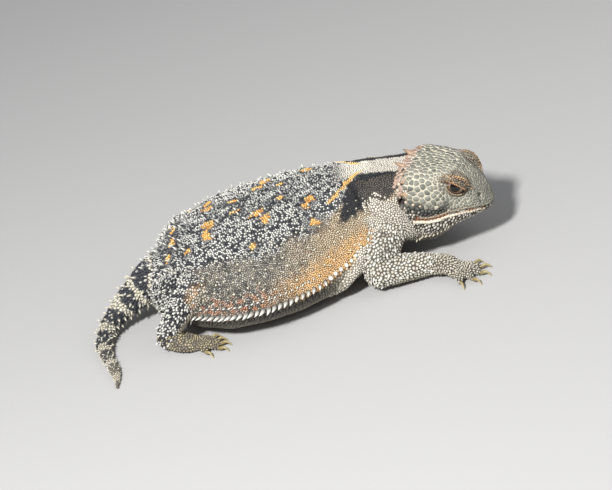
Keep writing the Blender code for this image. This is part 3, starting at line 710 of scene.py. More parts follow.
def sideShare(group):
    # 0 along the middle of the back, 1 at the side edge, 2 along the middle of the belly
    angle = np.mod(group["angle"], 2 * math.pi)
    return np.abs(np.mod(angle - math.pi / 2 + math.pi, 2 * math.pi) - math.pi) / (math.pi / 2)


marks = [  # orange blotches on the back: x, distance from the middle, half length, half width
    (-21.2, 4.4, 1.5, 1.6), (-21.6, 7.6, 0.9, 1.8), (-9.0, 6.2, 1.5, 1.1), (-7.2, 9.0, 1.2, 1.8),
    (-10.9, 15.9, 0.9, 0.8), (3.6, 7.2, 1.5, 0.9), (2.6, 9.2, 0.9, 0.9), (3.8, 13.4, 1.2, 0.8),
    (-30.6, 3.3, 0.8, 1.6), (-31.9, 7.0, 0.7, 0.8), (-3.6, 3.4, 1.1, 0.6), (-14.6, 2.6, 1.2, 0.6),
    (-26.4, 9.8, 0.8, 0.7),
]


def paintTrunk(g, lat):
    # Base colour and tip colour over the trunk and the neck. Bases that are darker copies of a colour, on
    # the orange blotches and band, the cream stripe, the pouch and the belly, are painted shade between the
    # scales
    x, y, _ = g["place"].T
    broad = cloud(g["place"], 5.0, 1)
    fine = cloud(g["place"], 1.1, 2)
    grain = cloud(g["place"], 0.55, 3)
    dash = cloud(g["place"] * (0.3, 1.25, 1.0), 1.0, 4)
    speck = random.random(len(x))
    back = 1 - ramp(lat + 0.06 * broad + 0.03 * fine, 0.45, 0.56)
    belly = ramp(lat, 1.02, 1.1)

    # Charcoal back, peppered with white, with dashes near the middle
    base = mix("black", "charcoal", ramp(fine, -0.6, 0.6))
    dotted = ramp(speck + 0.42 * grain + 0.2 * fine, 0.4, 0.5)
    dashed = ramp(dash + 0.2 * grain, 0.34, 0.5) * (1 - ramp(lat, 0.16, 0.3)) * (1 - ramp(x, 8, 12))
    light = np.maximum(dotted * (1 - 0.5 * (1 - ramp(lat, 0.1, 0.25))), dashed)
    light = light * (1 - 0.35 * (1 - ramp(x, -30, -24)))
    grey = mix("charcoal", "slate", ramp(speck, 0.1, 0.6) * 0.7)
    tip = mix(grey, "white", light)
    base = mix(base, "slate", light * 0.6)

    # Granular flank, peppered with white dots. The granules' tops take a lighter copy of the flank colour,
    # painted light, and their bases a far darker copy, painted shade
    flank = mix("flankDark", "flank", ramp(fine + broad * 0.5 + 0.5 * grain, -0.9, 0.9))
    front = ramp(x + 3 * broad, -8, 7)
    flank = mix(flank, "tan", front * 0.75)
    glow = ramp(lat + 0.02 * fine, 0.74, 0.9) * ramp(x + 2 * broad, -14, 3)
    flank = mix(flank, "amber", glow * (0.72 + 0.25 * np.clip(fine, -1, 1)))
    rusty = ramp(lat + 0.04 * fine, 0.78, 0.9) * (1 - ramp(x, -14, -4)) * ramp(x, -34, -26)
    flank = mix(flank, "rust", rusty * ramp(fine + 0.5 * grain, -0.2, 0.5) * 0.7)
    dots = ramp(speck + 0.1 * grain, 0.86, 0.9) * (1 - 0.8 * front)
    flankTip = mix(flank * 1.35, "white", 0.16 + 0.16 * np.clip(grain, -1, 1) + 0.6 * dots)
    base = mix(base, flank * 0.32, 1 - back)
    tip = mix(tip, np.clip(flankTip, 0, 1), 1 - back)

    # Orange blotches, each with a dark surround
    for markX, markY, length, width in marks:
        off = np.hypot((x - markX) / length, (np.abs(y) - markY) / width)
        dark = 1 - ramp(off * min(length, width), 1.2, 2.6)
        tip = mix(tip, "charcoal", dark * 0.6)
        inside = 1 - ramp(off + 0.4 * fine + 0.25 * grain, 0.88, 1.03)
        blotch = mix("orange", "yellow", ramp(speck + 0.4 * grain, 0.05, 0.75))
        base = mix(base, colours["orange"] * 0.6, inside * 0.9)
        tip = mix(tip, blotch, inside)

    # Neck and shoulders: a cream stripe, a dark line, a dark patch and a pale pouch
    edge = x + 1.0 * fine + 8 * (lat - 0.4)
    stripe = (1 - ramp(lat + 0.02 * fine, 0.13, 0.17)) * ramp(x, 8, 15)
    patch = (ramp(edge, 10.6, 11.8) * ramp(lat + 0.02 * fine, 0.19, 0.24)
             * (1 - ramp(lat + 0.03 * fine, 0.6, 0.7)))
    patchTip = mix(mix("shoulder", "charcoal", 1 - ramp(x + 2 * fine, 13, 17)),
                   "black", ramp(grain + speck, 0.6, 1.4) * 0.5)
    line = ramp(lat + 0.02 * fine, 0.13, 0.16) * (1 - ramp(lat + 0.02 * fine, 0.22, 0.25)) * ramp(x, 13, 16)
    slant = np.abs(x - 14.8 + (lat - 0.13) * 27 + 0.6 * fine)
    band = (1 - ramp(slant, 0.5, 1.0)) * (lat > 0.08) * (lat < 0.36)
    pouch = ramp(lat, 0.68, 0.76) * ramp(x + 2 * fine, 14.0, 15.5)
    creamTip = mix("throat", "flank", ramp(grain + 0.6 * fine, 0.5, 1.1) * 0.45)
    layers = (
        (stripe, colours["outline"] * 0.4, creamTip), (patch, "black", patchTip),
        (line, "black", "charcoal"), (pouch, colours["flank"] * 0.85, creamTip),
        (band, colours["orange"] * 0.6, "yellow"))
    for share, lower, upper in layers:
        base = mix(base, lower, share)
        tip = mix(tip, upper, share)
    pale = mix("belly", "flank", ramp(fine + 0.6 * broad, 0.2, 1.0) * 0.6)
    # Painted shade: the belly darkens next to the side edge, from the rear to a little before the arms, as
    # if the fringe shaded it
    pale = mix(pale, colours["flankDark"] * 0.8, (1 - ramp(lat, 1.1, 1.5)) * (1 - ramp(x, 0, 8)) * 0.92)
    base = mix(base, pale * 0.4, belly)
    tip = mix(tip, pale, belly)
    return base, tip


def paintHead(g, kind):
    # The same over the head, the brows and the lids
    local = headLocal(g["place"])
    u, _, w = local.T
    fine = cloud(g["place"], 1.5, 5)
    grain = cloud(g["place"], 0.6, 7)
    speck = random.random(len(u))
    mouth = mouthHeight(u)

    # Plates of the crown, pinker at the rear
    plate = mix("plate", "plateDark", ramp(fine + speck, 0.2, 1.5) * 0.8)
    plate = plate * (0.88 + 0.24 * random.random(len(u)))[:, None]
    rear = ramp(3.2 - u, 0, 2.2) * ramp(w, -3, 0)
    tip = mix(plate, "pink", rear * 0.4)
    base = mix("outline", "pink", rear * 0.5)
    snout = ramp(u, 14.5, 18)
    base = mix(base, "plateDark", snout * 0.45)

    # Peppered cheek, and a painted shadow over the hollow before the ear
    cheek = ramp(mouth + 4.6 - w + 0.6 * fine, 0, 2.2) * (1 - ramp(u, 11, 15))
    tip = mix(tip, mix("outline", colours["plateDark"] * 0.8, ramp(grain + speck, -0.5, 0.5)), cheek)
    base = mix(base, "black", cheek)
    shadow = (1 - ramp(np.hypot(u - 4.0, (w - 1.2) * 1.7), 1.6, 3.4)) * (w < 2.4)
    tip = mix(tip, colours["plateDark"] * 0.8, shadow * 0.8)

    # Jaw, and the rusty corner of the mouth
    jaw = ramp(mouth - w, 0.1, 0.5)
    jawTip = mix("throat", "flankDark", ramp(grain + 0.8 * speck, 0.1, 0.8) * 0.85)
    jawTip = mix(jawTip, "belly", ramp(mouth - w, 4, 7) * 0.6)
    tip = mix(tip, jawTip, jaw)
    base = mix(base, colours["brown"] * 0.3, jaw)
    corner = (1 - ramp(np.abs(w - mouth), 0.3, 0.9)) * (1 - ramp(u, 10, 14)) * ramp(u, 4, 6)
    base = mix(base, "rust", corner * 0.8)

    # Skin round the eyes, and the brows above them
    for side in (-1, 1):
        off = local - sided(eye["place"], side)
        around = 1 - ramp(np.linalg.norm(off, axis=1), 2.95, 3.5)
        tip = mix(tip, mix("eyelid", "plate", speck * 0.8), around)
        base = mix(base, colours["brown"] * 0.6, around)
        shade = 1 - ramp(np.linalg.norm(off - sided((3.4, 0.6, -1.5), side), axis=1), 0.6, 1.7)
        tip = mix(tip, colours["plateDark"] * 0.7, shade * 0.7)
    ridge = (kind == "brow") * ramp(u, 9.6, 11.0)
    tip = mix(tip, mix("brow", "plate", speck * 0.7), ridge * 0.8)
    base = mix(base, "brown", ridge * 0.8)
    notch = (kind == "brow") * (1 - ramp(np.abs(u - 10.6), 0.7, 1.3))
    tip = mix(tip, colours["brown"] * 0.8, notch)
    return base, tip


def paint(g):
    # Base colour and tip colour of every scale. Bases that are darker copies of a colour, as on the folds,
    # the tail, the knees and the undersides, are painted shade between the scales
    kind = formKinds(g)
    lat = sideShare(g)
    n = len(kind)
    base = np.tile(colours["slate"], (n, 1))
    tip = np.tile(colours["white"], (n, 1))
    fine = cloud(g["place"], 1.5, 5)
    broad = cloud(g["place"], 4.0, 6)
    speck = random.random(n)
    x, y, z = g["place"].T

    here = np.isin(kind, ("trunk", "neck"))
    base[here], tip[here] = paintTrunk(chosen(g, here), lat[here])
    here = np.isin(kind, ("head", "brow", "lid"))
    base[here], tip[here] = paintHead(chosen(g, here), kind[here])

    here = kind == "fold"
    tip[here] = mix("throat", "flank", ramp(fine + speck, 0.7, 1.7)[here] * 0.5)
    base[here] = colours["flank"] * 0.8

    # Pale bands across the tail, fainter toward its tip
    here = kind == "tail"
    t = g["t"]
    band = ramp(np.sin(t * 44 + 0.8 * broad), 0.05, 0.45)
    fade = ramp(t, 0.5, 0.95)
    dark = mix("charcoal", "flank", fade)
    pale = mix("outline", "tan", fade * 0.3)
    tip[here] = mix(mix(dark, pale, band), "white", ramp(speck, 0.88, 0.92) * 0.7)[here]
    base[here] = mix(dark * 0.6, pale * 0.5, band * 0.8)[here]

    # Pale mottled arms, dark peppered legs with a tan knee, sandy feet
    arm = np.char.startswith(kind, "fore")
    mottle = ramp(broad + 0.5 * fine, 0.4, 1.1)
    tip[arm] = mix(mix("arm", "white", ramp(speck, 0.15, 0.9)), "flankDark", mottle * 0.5)[arm]
    base[arm] = mix("armDark", "black", ramp(fine, -0.5, 1) * 0.45)[arm]
    leg = np.char.startswith(kind, "hind")
    legTip = mix(mix("charcoal", "slate", speck * 0.6), "white", ramp(speck + 0.2 * fine, 0.4, 0.5))
    tip[leg] = legTip[leg]
    base[leg] = mix("black", "charcoal", ramp(fine, -0.5, 1))[leg]
    knee = leg * (1 - ramp(np.hypot(x + 25.5, np.hypot(np.abs(y) - 20.2, z - 13.2)) + 0.5 * fine, 2.0, 4.0))
    tip = mix(tip, mix("knee", "white", speck * 0.7), knee * 0.8)
    base = mix(base, colours["knee"] * 0.5, knee * 0.8)
    foot = np.isin(kind, ("hindFoot", "hindDigit"))
    tip[foot] = mix(colours["foot"] * 0.9, "flank", ramp(fine + speck, 0.2, 1.0))[foot]
    base[foot] = colours["armDark"] * 0.8
    digit = np.isin(kind, ("foreDigit", "foreFoot"))
    tip[digit] = mix(tip, mix("outline", "foot", 0.5), 0.4)[digit]
    under = (arm | leg) & (lat > 1.4)
    tip[under] = colours["belly"]
    base[under] = colours["belly"] * 0.4
    return base, tip


def scaleShape(sides, profile, lean=0.0, stretch=1.0, tilt=0.0, cell=False):
    # A small closed shape: rings of a radius, a height and a share of the tip's colour, with the
    # last drawn to a point. A cell's rings spread out until they meet its neighbours
    bm = bmesh.new()
    radius, height, _ = profile[0]
    ring = bmesh.ops.create_circle(bm, cap_ends=True, segments=sides, radius=radius)["verts"]
    bmesh.ops.translate(bm, verts=ring, vec=(0, 0, height))
    edges = list({e for v in ring for e in v.link_edges})
    for nextRadius, nextHeight, _ in profile[1:-1]:
        made = bmesh.ops.extrude_edge_only(bm, edges=edges)["geom"]
        ring = [g for g in made if isinstance(g, bmesh.types.BMVert)]
        edges = [g for g in made if isinstance(g, bmesh.types.BMEdge)]
        grow = nextRadius / radius
        bmesh.ops.scale(bm, verts=ring, vec=(grow, grow, 1))
        bmesh.ops.translate(bm, verts=ring, vec=(0, 0, nextHeight - height))
        radius, height = nextRadius, nextHeight
    top = bmesh.ops.contextual_create(bm, geom=edges)["faces"]
    tip = bmesh.ops.poke(bm, faces=top)["verts"]
    bmesh.ops.translate(bm, verts=tip, vec=(0, 0, profile[-1][1] - height))
    bmesh.ops.triangulate(bm, faces=bm.faces)
    bmesh.ops.recalc_face_normals(bm, faces=bm.faces)
    bm.verts.index_update()
    points = np.array([v.co for v in bm.verts])
    faces = np.array([[v.index for v in f.verts] for f in bm.faces])
    bm.free()
    heights = points[:, 2]
    shade = np.interp(heights, [p[1] for p in profile], [p[2] for p in profile])
    turns = np.arctan2(points[:, 1], points[:, 0]) / (2 * math.pi / sides)
    direction = np.round(turns).astype(int) % sides
    shift = lean * np.maximum(heights, 0) ** 1.5
    walls = heights[faces].max(1) > profile[0][1] + 0.01
    return {"points": points * (stretch, 1, 1), "faces": faces, "walls": walls, "shade": shade,
            "shift": shift, "tilt": tilt, "direction": direction, "sides": sides, "cell": cell}


shapes = {  # sides, rings, lean toward the flow, stretch along it, tilt
    "granule": scaleShape(7, [(0.96, -0.6, 0), (0.74, 0.5, 0.45), (0, 1.0, 1)], 0.15, cell=True),
    "cone": scaleShape(7, [(0.96, -0.5, 0), (0.62, 0.42, 0.7), (0, 1.0, 1)], 0.5, cell=True),
    "plate": scaleShape(12, [(0.97, -0.9, 0), (0.9, 0.3, 0), (0.79, 0.85, 1), (0, 1.0, 1)], cell=True),
    "keel": scaleShape(8, [(0.97, -0.6, 0), (0.68, 0.5, 0.5), (0, 1.0, 1)], 0.5, 1.05, 0.35, cell=True),
    "boss": scaleShape(9, [(1.0, -0.4, 0), (0.72, 0.4, 0.7), (0.4, 0.85, 1), (0, 1.0, 1)], 0.2),
    "spine": scaleShape(8, [(1.0, -0.25, 0), (0.56, 0.24, 0.25), (0.28, 0.6, 0.9), (0, 1.0, 1)], 0.55),
    "lip": scaleShape(9, [(1.0, -0.4, 0), (0.84, 0.5, 0.8), (0.45, 0.9, 1), (0, 1.0, 1)], 0.0, 1.3),
    "blade": scaleShape(8, [(1.0, -0.25, 0), (0.62, 0.3, 0.35), (0.3, 0.66, 1), (0, 1.0, 1)], 1.4, 1.15),
}


def paintMesh(mesh, colour):
    layer = mesh.color_attributes.new(name="markings", type="FLOAT_COLOR", domain="POINT")
    full = np.ones((len(colour), 4), np.float32)
    full[:, :3] = colour
    layer.data.foreach_set("color", full.ravel())


def unwrapPlaces(g, names):
    # Each form has a cell of a square, in which its length runs across and its girth up
    cells = math.ceil(math.sqrt(len(names)))
    index = np.zeros(len(forms), int)
    for i, name in enumerate(names):
        index[forms[name]["index"]] = i
    cell = index[g["form"]]
    turn = np.mod(g["angle"], 2 * math.pi) / (2 * math.pi)
    across = (cell % cells + 0.02 + 0.96 * g["t"]) / cells
    up = (cell // cells + 0.02 + 0.96 * turn) / cells
    return np.column_stack([across, up])


patchHalf = 0.0015  # half the width of one scale in the map


def spread(g, shape):
    # How far a scale reaches in each of its shape's directions: to its own radius, or to a
    # line part of the way to each neighbour
    if not shape["cell"]:
        return np.repeat(g["radius"][:, None], shape["sides"], 1)
    angles = roundAngles(shape["sides"])
    facing = g["bounds"] @ np.array([np.cos(angles), np.sin(angles)])
    square = (g["bounds"] ** 2).sum(2)[..., None]
    reach = np.where(facing > 0.02, square / np.maximum(facing, 0.02), 9.0).min(1)
    return np.minimum(reach, g["spacing"][:, None])


def coatPiece(name, groups, names):
    # One mesh of many scales. A group holds roots, directions, sizes, colours and a shape
    points, faces, tints, maps, smooth = [], [], [], [], []
    count = 0
    for g in groups:
        shape = shapes[g["shape"]]
        m = len(shape["points"])
        n = len(g["place"])
        side = np.cross(g["normal"], g["flow"])
        reach = spread(g, shape)[:, shape["direction"]]
        size = g["radius"][:, None]
        x, y, z = shape["points"].T
        x = x * reach + shape["shift"] * size
        y = y * reach
        z = z * g["height"][:, None] + shape["tilt"] * x * (z > 0)
        body = (g["place"][:, None] + x[..., None] * g["flow"][:, None] + y[..., None] * side[:, None]
                + z[..., None] * g["normal"][:, None])
        body[..., 2] = np.maximum(body[..., 2], 0.005)
        shade = shape["shade"][None, :, None]
        tint = g["base"][:, None] * (1 - shade) + g["tip"][:, None] * shade
        flat = unwrapPlaces(g, names)[:, None] + shape["points"][None, :, :2] * patchHalf
        points.append(body.reshape(-1, 3))
        tints.append(tint.reshape(-1, 3))
        maps.append(flat.reshape(-1, 2))
        starts = count + np.arange(n)[:, None, None] * m
        faces.append((shape["faces"][None] + starts).reshape(-1, 3))
        smooth.append(np.tile(shape["walls"], n))
        count += n * m
    points, tints, maps = (np.concatenate(v) for v in (points, tints, maps))
    faces = np.concatenate(faces)
    mesh = bpy.data.meshes.new(name)
    mesh.vertices.add(len(points))
    mesh.loops.add(faces.size)
    mesh.polygons.add(len(faces))
    mesh.vertices.foreach_set("co", ((points + shift) * mm).astype(np.float32).ravel())
    mesh.loops.foreach_set("vertex_index", faces.astype(np.int32).ravel())
    mesh.polygons.foreach_set("loop_start", np.arange(0, faces.size, 3, dtype=np.int32))
    mesh.polygons.foreach_set("use_smooth", np.concatenate(smooth))
    mesh.update(calc_edges=True)
    paintMesh(mesh, tints)
    layer = mesh.uv_layers.new(name="OFBake")
    layer.data.foreach_set("uv", maps[faces.ravel()].astype(np.float32).ravel())
    obj = added(name, mesh)
    mesh.materials.append(coatMaterial)
    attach(obj, "root")
    print(name, len(faces), "triangles")


gaps = {
    "neck": 0.36, "brow": 0.5, "lid": 0.34, "fold": 0.44, "foreUpper": 0.6, "foreLower": 0.6,
    "foreDigit": 0.42, "hindDigit": 0.42, "other": 0.5,
}


def spacingOf(g):
    # Least distance between ordinary scales, by where they grow
    kind = formKinds(g)
    lat = sideShare(g)
    local = headLocal(g["place"])
    u, _, w = local.T
    x = g["place"][:, 0]
    gap = np.array([gaps.get(k, gaps["other"]) for k in kind.tolist()])
    trunkGap = np.select([lat < backEdge, lat < bellyEdge], [0.42, 0.34], 0.62)
    trunkGap = np.where((x > 10.5) & (lat < bellyEdge), 0.32, trunkGap)
    gap = np.where(kind == "trunk", trunkGap, gap)
    crown = np.interp(u, (0, 2, 8, 13, 17, 20), (0.6, 1.0, 0.98, 0.8, 0.56, 0.46))
    temple = np.interp(u, (0, 2, 9, 12, 16), (0.6, 1.15, 1.05, 0.7, 0.52))
    headGap = np.where(w > 5.5, crown, temple)
    cheek = ramp(mouthHeight(u) + 4.0 - w, 0, 2.0)
    headGap = headGap + (0.66 - headGap) * cheek * (u < 14)
    headGap = np.where(w < mouthHeight(u) - 3.0, 0.46, headGap)
    for side in (-1, 1):
        apart = np.linalg.norm(local - sided(eye["place"], side), axis=1)
        headGap = np.minimum(headGap, np.interp(apart, (2.9, 3.4, 5.0), (0.32, 0.48, 1.3)))
        apart = apartFrom(local, [sided(p, side) for p in browRidge["points"]])
        headGap = np.minimum(headGap, np.interp(apart, (1, 2.4), (0.42, 1.3)))
    gap = np.where(kind == "head", headGap, gap)
    return np.where(kind == "tail", 0.62 - 0.22 * g["t"], gap)


# Larger scales that stand out from the rest, with a base radius and a height. Scattered ones
# have a least distance and a range of sizes, and those in a row along the mouth their places
ornaments = {
    "": {},
    "fringe": {"shape": "blade", "radius": 0.66, "height": 1.9, "base": "black", "tip": "white"},
    "bead": {"shape": "boss", "radius": 0.74, "height": 0.95, "base": "brown", "tip": "white"},
    "fringeRow": {"shape": "blade", "radius": 0.36, "height": 0.66, "base": "black", "tip": "white"},
    "dorsal": {"shape": "spine", "radius": 0.5, "height": 1.0, "base": "black", "tip": "white",
               "apart": 2.3, "sizes": (0.5, 1.2)},
    "rump": {"shape": "spine", "radius": 0.56, "height": 1.35, "base": "black", "tip": "white",
             "apart": 2.2, "sizes": (0.6, 1.15)},
    "tubercle": {"shape": "boss", "radius": 0.28, "height": 0.36, "base": "flankDark", "tip": "cream",
                 "apart": 1.5, "sizes": (0.5, 1.3)},
    "tailSpine": {"shape": "spine", "radius": 0.62, "height": 1.35, "base": "slate", "tip": "cream"},
    "legSpine": {"shape": "spine", "radius": 0.5, "height": 0.95, "base": "black", "tip": "white",
                 "apart": 1.7, "sizes": (0.75, 1.25)},
    "armScale": {"shape": "blade", "radius": 0.46, "height": 0.55, "base": "armDark", "tip": "white",
                 "apart": 1.5, "sizes": (0.75, 1.25)},
    "upperLip": {"shape": "lip", "radius": 0.31, "height": 0.2, "base": "brown", "tip": "eyelid",
                 "start": 6.2, "end": 19.9, "step": 0.56, "above": 0.55, "taper": ((6, 20), (1.1, 0.8))},
    "lowerLip": {"shape": "lip", "radius": 0.42, "height": 0.27, "base": "rust", "tip": "outline",
                 "start": 4.4, "end": 19.9, "step": 0.6, "above": -0.62, "taper": ((6, 20), (1.2, 0.7))},
    "jawEdge": {"shape": "blade", "radius": 0.42, "height": 0.6, "base": "brown", "tip": "cream",
                "start": 3.4, "end": 19.0, "step": 0.86, "share": 0.78, "taper": ((5, 19), (1.3, 0.6))},
    "rim": {"shape": "boss", "radius": 0.55, "height": 0.36, "base": "brown", "tip": "pinkDull"},
    "browScale": {"shape": "blade", "radius": 0.36, "height": 0.3, "base": "brown", "tip": "brow"},
    "lidRim": {"shape": "boss", "radius": 0.2, "height": 0.12, "base": "brown", "tip": "rim"},
    "lidEdge": {"shape": "boss", "radius": 0.17, "height": 0.1, "base": "brown", "tip": "tan"},
}
ornamentNames = list(ornaments)


def station(rows, along):
    # How far through the rows their first number reaches a length
    t = np.linspace(0, 1, 400)
    return np.interp(along, rowsAt(rows, t)[:, 0], t)


def marked(group, name, size=1.0):
    n = len(group["place"])
    group = dict(group)
    group["ornament"] = np.full(n, ornamentNames.index(name))
    group["size"] = np.ones(n) * size
    return group


def formRow(formName, t, angle, name, size=1.0):
    # Ornaments at set places of a form
    form = forms[formName]
    t = np.asarray(t, float)
    angle = np.broadcast_to(np.asarray(angle, float), t.shape).copy()
    _, along, _ = slopes(form, t, angle)
    group = {"place": form["points"](t, angle), "flow": unit(along) * form["flow"], "t": t,
             "angle": angle, "form": np.full(len(t), form["index"])}
    return marked(group, name, size)


def headAngle(u, w, side):
    # The angle round the head's section at a distance forward and a height
    _, edge, _, rise, drop = rowsAt(head["rows"], station(head["rows"], u)).T
    above = w >= edge
    power = np.where(above, *head["powers"])
    share = np.clip(np.abs(w - edge) / np.where(above, rise, drop), 0, 1)
    angle = np.arcsin(share ** (power / 2)) * np.where(above, 1, -1)
    return angle if side > 0 else math.pi - angle


def headRow(u, w, side, name, size=1.0):
    return formRow("head", station(head["rows"], u), headAngle(u, w, side), name, size)


fringe = {"start": -33.5, "end": 12.6, "step": 1.34, "beadsFrom": 3.5}
rimPath = [  # forward and up, down the rear edge of the cheek
    (1.4, 7.4), (1.2, 5.9), (1.2, 4.5), (1.5, 3.0), (2.9, 1.7), (4.6, 1.2), (6.2, 0.9)]


def scattered(candidates, mask, name):
    part = chosen(candidates, mask)
    part["spacing"] = np.full(len(part["place"]), ornaments[name]["apart"])
    part = thinned(part, 0)
    return marked(part, name, random.uniform(*ornaments[name]["sizes"], len(part["place"])))


def placeOrnaments(c):
    kind = formKinds(c)
    lat = sideShare(c)
    groups = []
    x = np.arange(fringe["start"], fringe["end"], fringe["step"])
    size = 0.66 + 0.4 * np.sin(math.pi * (x - x[0]) / (x[-1] - x[0]))
    blades = x < fringe["beadsFrom"]
    for angle, side in ((0.0, 1), (math.pi, -1)):
        t = station(trunk["rows"], x)
        groups.append(formRow("trunk", t[blades], angle, "fringe", size[blades] * 1.05))
        groups.append(formRow("trunk", t[~blades], angle, "bead", size[~blades] * 1.15))
        groups.append(formRow("trunk", t[:-8] + 0.01, angle + side * 0.13, "fringeRow", size[:-8]))
    for side, word in bothSides:
        for name in ("upperLip", "lowerLip"):
            plan = ornaments[name]
            u = np.arange(plan["start"], plan["end"], plan["step"])
            size = np.interp(u, *plan["taper"])
            groups.append(headRow(u, mouthHeight(u) + plan["above"], side, name, size))
        plan = ornaments["jawEdge"]
        u = np.arange(plan["start"], plan["end"], plan["step"])
        _, edge, _, _, drop = rowsAt(head["rows"], station(head["rows"], u)).T
        height = edge - plan["share"] * drop
        groups.append(headRow(u, height, side, "jawEdge", np.interp(u, *plan["taper"])))
        u, w = np.array(rimPath).T
        groups.append(headRow(u, w, side, "rim", np.interp(u, (1, 6), (1, 0.75))))
        theta = np.linspace(0, 2 * math.pi, 61)[:-1]
        theta = theta - 0.3 * np.sin(2 * theta)
        for name, part in (("lidRim", np.sin(theta) > -0.1), ("lidEdge", np.sin(theta) <= -0.1)):
            groups.append(formRow(f"lid_{word}", np.full(part.sum(), 0.05), theta[part], name))
        groups.append(formRow(f"brow_{word}", np.linspace(0.08, 0.8, 13), math.pi * (0.5 - 0.16 * side),
                              "browScale", np.sin(np.linspace(0.6, 2.4, 13)) * 1.05))
    along = c["place"][:, 0]
    back = (kind == "trunk") & (lat < backEdge) & (along < 9)
    groups.append(scattered(c, back & (along > -27), "dorsal"))
    groups.append(scattered(c, back & (along <= -27), "rump"))
    groups.append(scattered(c, (kind == "trunk") & (lat > 0.46) & (lat < 0.92), "tubercle"))
    for i, t in enumerate(np.linspace(0.13, 0.93, 25)):
        angles = (np.arange(7) + 0.5 * (i % 2)) * 2 * math.pi / 7 + 0.2
        size = np.interp(t, (0, 0.5, 1), (1.1, 0.8, 0.3))
        groups.append(formRow("tail", np.full(7, t), angles, "tailSpine", size))
    groups.append(scattered(c, np.isin(kind, ("hindUpper", "hindLower")) & (lat < 1.3), "legSpine"))
    groups.append(scattered(c, np.isin(kind, ("foreUpper", "foreLower")) & (lat < 1.2), "armScale"))
    return joined(groups)


packing = {"rounds": 3, "neighbours": 7, "apart": 1.12, "push": 0.35, "bounds": 12}


def relaxed(g, first, tree):
    # Ordinary scales push each other apart along the skin, so that they pack evenly
    for _ in range(packing["rounds"]):
        places = g["place"].tolist()
        near = pointTree(places)
        found = np.array([[f[1] for f in near.find_n(p, packing["neighbours"])] for p in places])
        away = g["place"][:, None] - g["place"][found[:, 1:]]
        apart = np.maximum(np.linalg.norm(away, axis=2), 1e-6)
        want = packing["apart"] * (g["spacing"][:, None] + g["spacing"][found[:, 1:]]) / 2
        push = (away / apart[..., None] * np.maximum(want - apart, 0)[..., None]).sum(1) * packing["push"]
        push[:first] = 0
        spots = g["place"] + push
        for i, p in enumerate(spots.tolist()):
            if i >= first:
                spot, normal, _, _ = tree.find_nearest(p)
                g["place"][i] = spot
                g["normal"][i] = normal
    g["flow"] = alongSkin(g["flow"], g["normal"])
    return g


def bounded(g):
    # Where the ground of each scale ends on the way to each neighbour, along and across it
    places = g["place"].tolist()
    near = pointTree(places)
    found = np.array([[f[1] for f in near.find_n(p, packing["bounds"] + 1)][1:] for p in places])
    off = g["place"][found] - g["place"][:, None]
    side = np.cross(g["normal"], g["flow"])
    share = g["spacing"][:, None] / (g["spacing"][:, None] + g["spacing"][found])
    along = (off * g["flow"][:, None]).sum(2) * share
    across = (off * side[:, None]).sum(2) * share
    return np.stack([along, across], 2)


coatSizes = {  # shares of a scale's spacing, then heights
    "radius": 0.6, "height": 0.4, "coneGrowth": 1.7, "plate": 0.26, "plateLimits": (0.1, 0.26),
    "lid": 0.13, "keeled": 0.26, "limb": 0.24, "belly": 0.12,
}


def growCoat(g):
    # Shape, size and colours of every scale from where it grows
    kind = formKinds(g)
    lat = sideShare(g)
    u, _, w = headLocal(g["place"]).T
    mouth = mouthHeight(u)
    n = len(kind)
    grow = random.uniform(0.85, 1.15, n)
    g["bounds"] = bounded(g)
    g["radius"] = g["spacing"] * coatSizes["radius"]
    g["height"] = g["spacing"] * coatSizes["height"] * grow
    g["base"], g["tip"] = paint(g)
    shape = np.full(n, "granule", dtype="<U12")
    back = (kind == "trunk") & (lat < backEdge)
    light = back & (g["tip"].mean(1) > 0.3)
    shape[light] = "cone"
    g["height"][light] *= coatSizes["coneGrowth"]
    top = (kind == "head") & ((w > mouth + 2.2) | (u > 13) & (w > mouth))
    shape[top] = "plate"
    plateHeight = np.clip(g["spacing"][top] * coatSizes["plate"], *coatSizes["plateLimits"])
    g["height"][top] = plateHeight * grow[top]
    keeled = (kind == "head") & ~top & (w > mouth - 4)
    limb = np.char.startswith(kind, "fore") | np.char.startswith(kind, "hind") | (kind == "tail")
    shape[keeled | limb] = "keel"
    g["height"][kind == "lid"] = coatSizes["lid"]
    g["height"][keeled] = coatSizes["keeled"]
    g["height"][limb] = coatSizes["limb"] * grow[limb]
    belly = (kind == "trunk") & (lat > bellyEdge)
    shape[belly] = "keel"
    g["height"][belly] = coatSizes["belly"]
    for i, name in enumerate(ornamentNames[1:], 1):
        here = g["ornament"] == i
        plan = ornaments[name]
        shape[here] = plan["shape"]
        g["radius"][here] = plan["radius"] * g["size"][here]
        g["height"][here] = plan["height"] * g["size"][here] * grow[here]
        g["base"][here] = mix(g["base"][here], plan["base"], 0.8)
        g["tip"][here] = colours[plan["tip"]]
    g["shape"] = shape
    return g


def groupsOf(g, mask):
    part = chosen(g, mask)
    found = []
    for shape in sorted(set(part["shape"])):
        group = chosen(part, part["shape"] == shape)
        group["shape"] = str(shape)
        found.append(group)
    return found


def nodeTree(material):
    material.use_nodes = True
    nodes = material.node_tree.nodes
    return nodes, material.node_tree.links, nodes["Principled BSDF"]


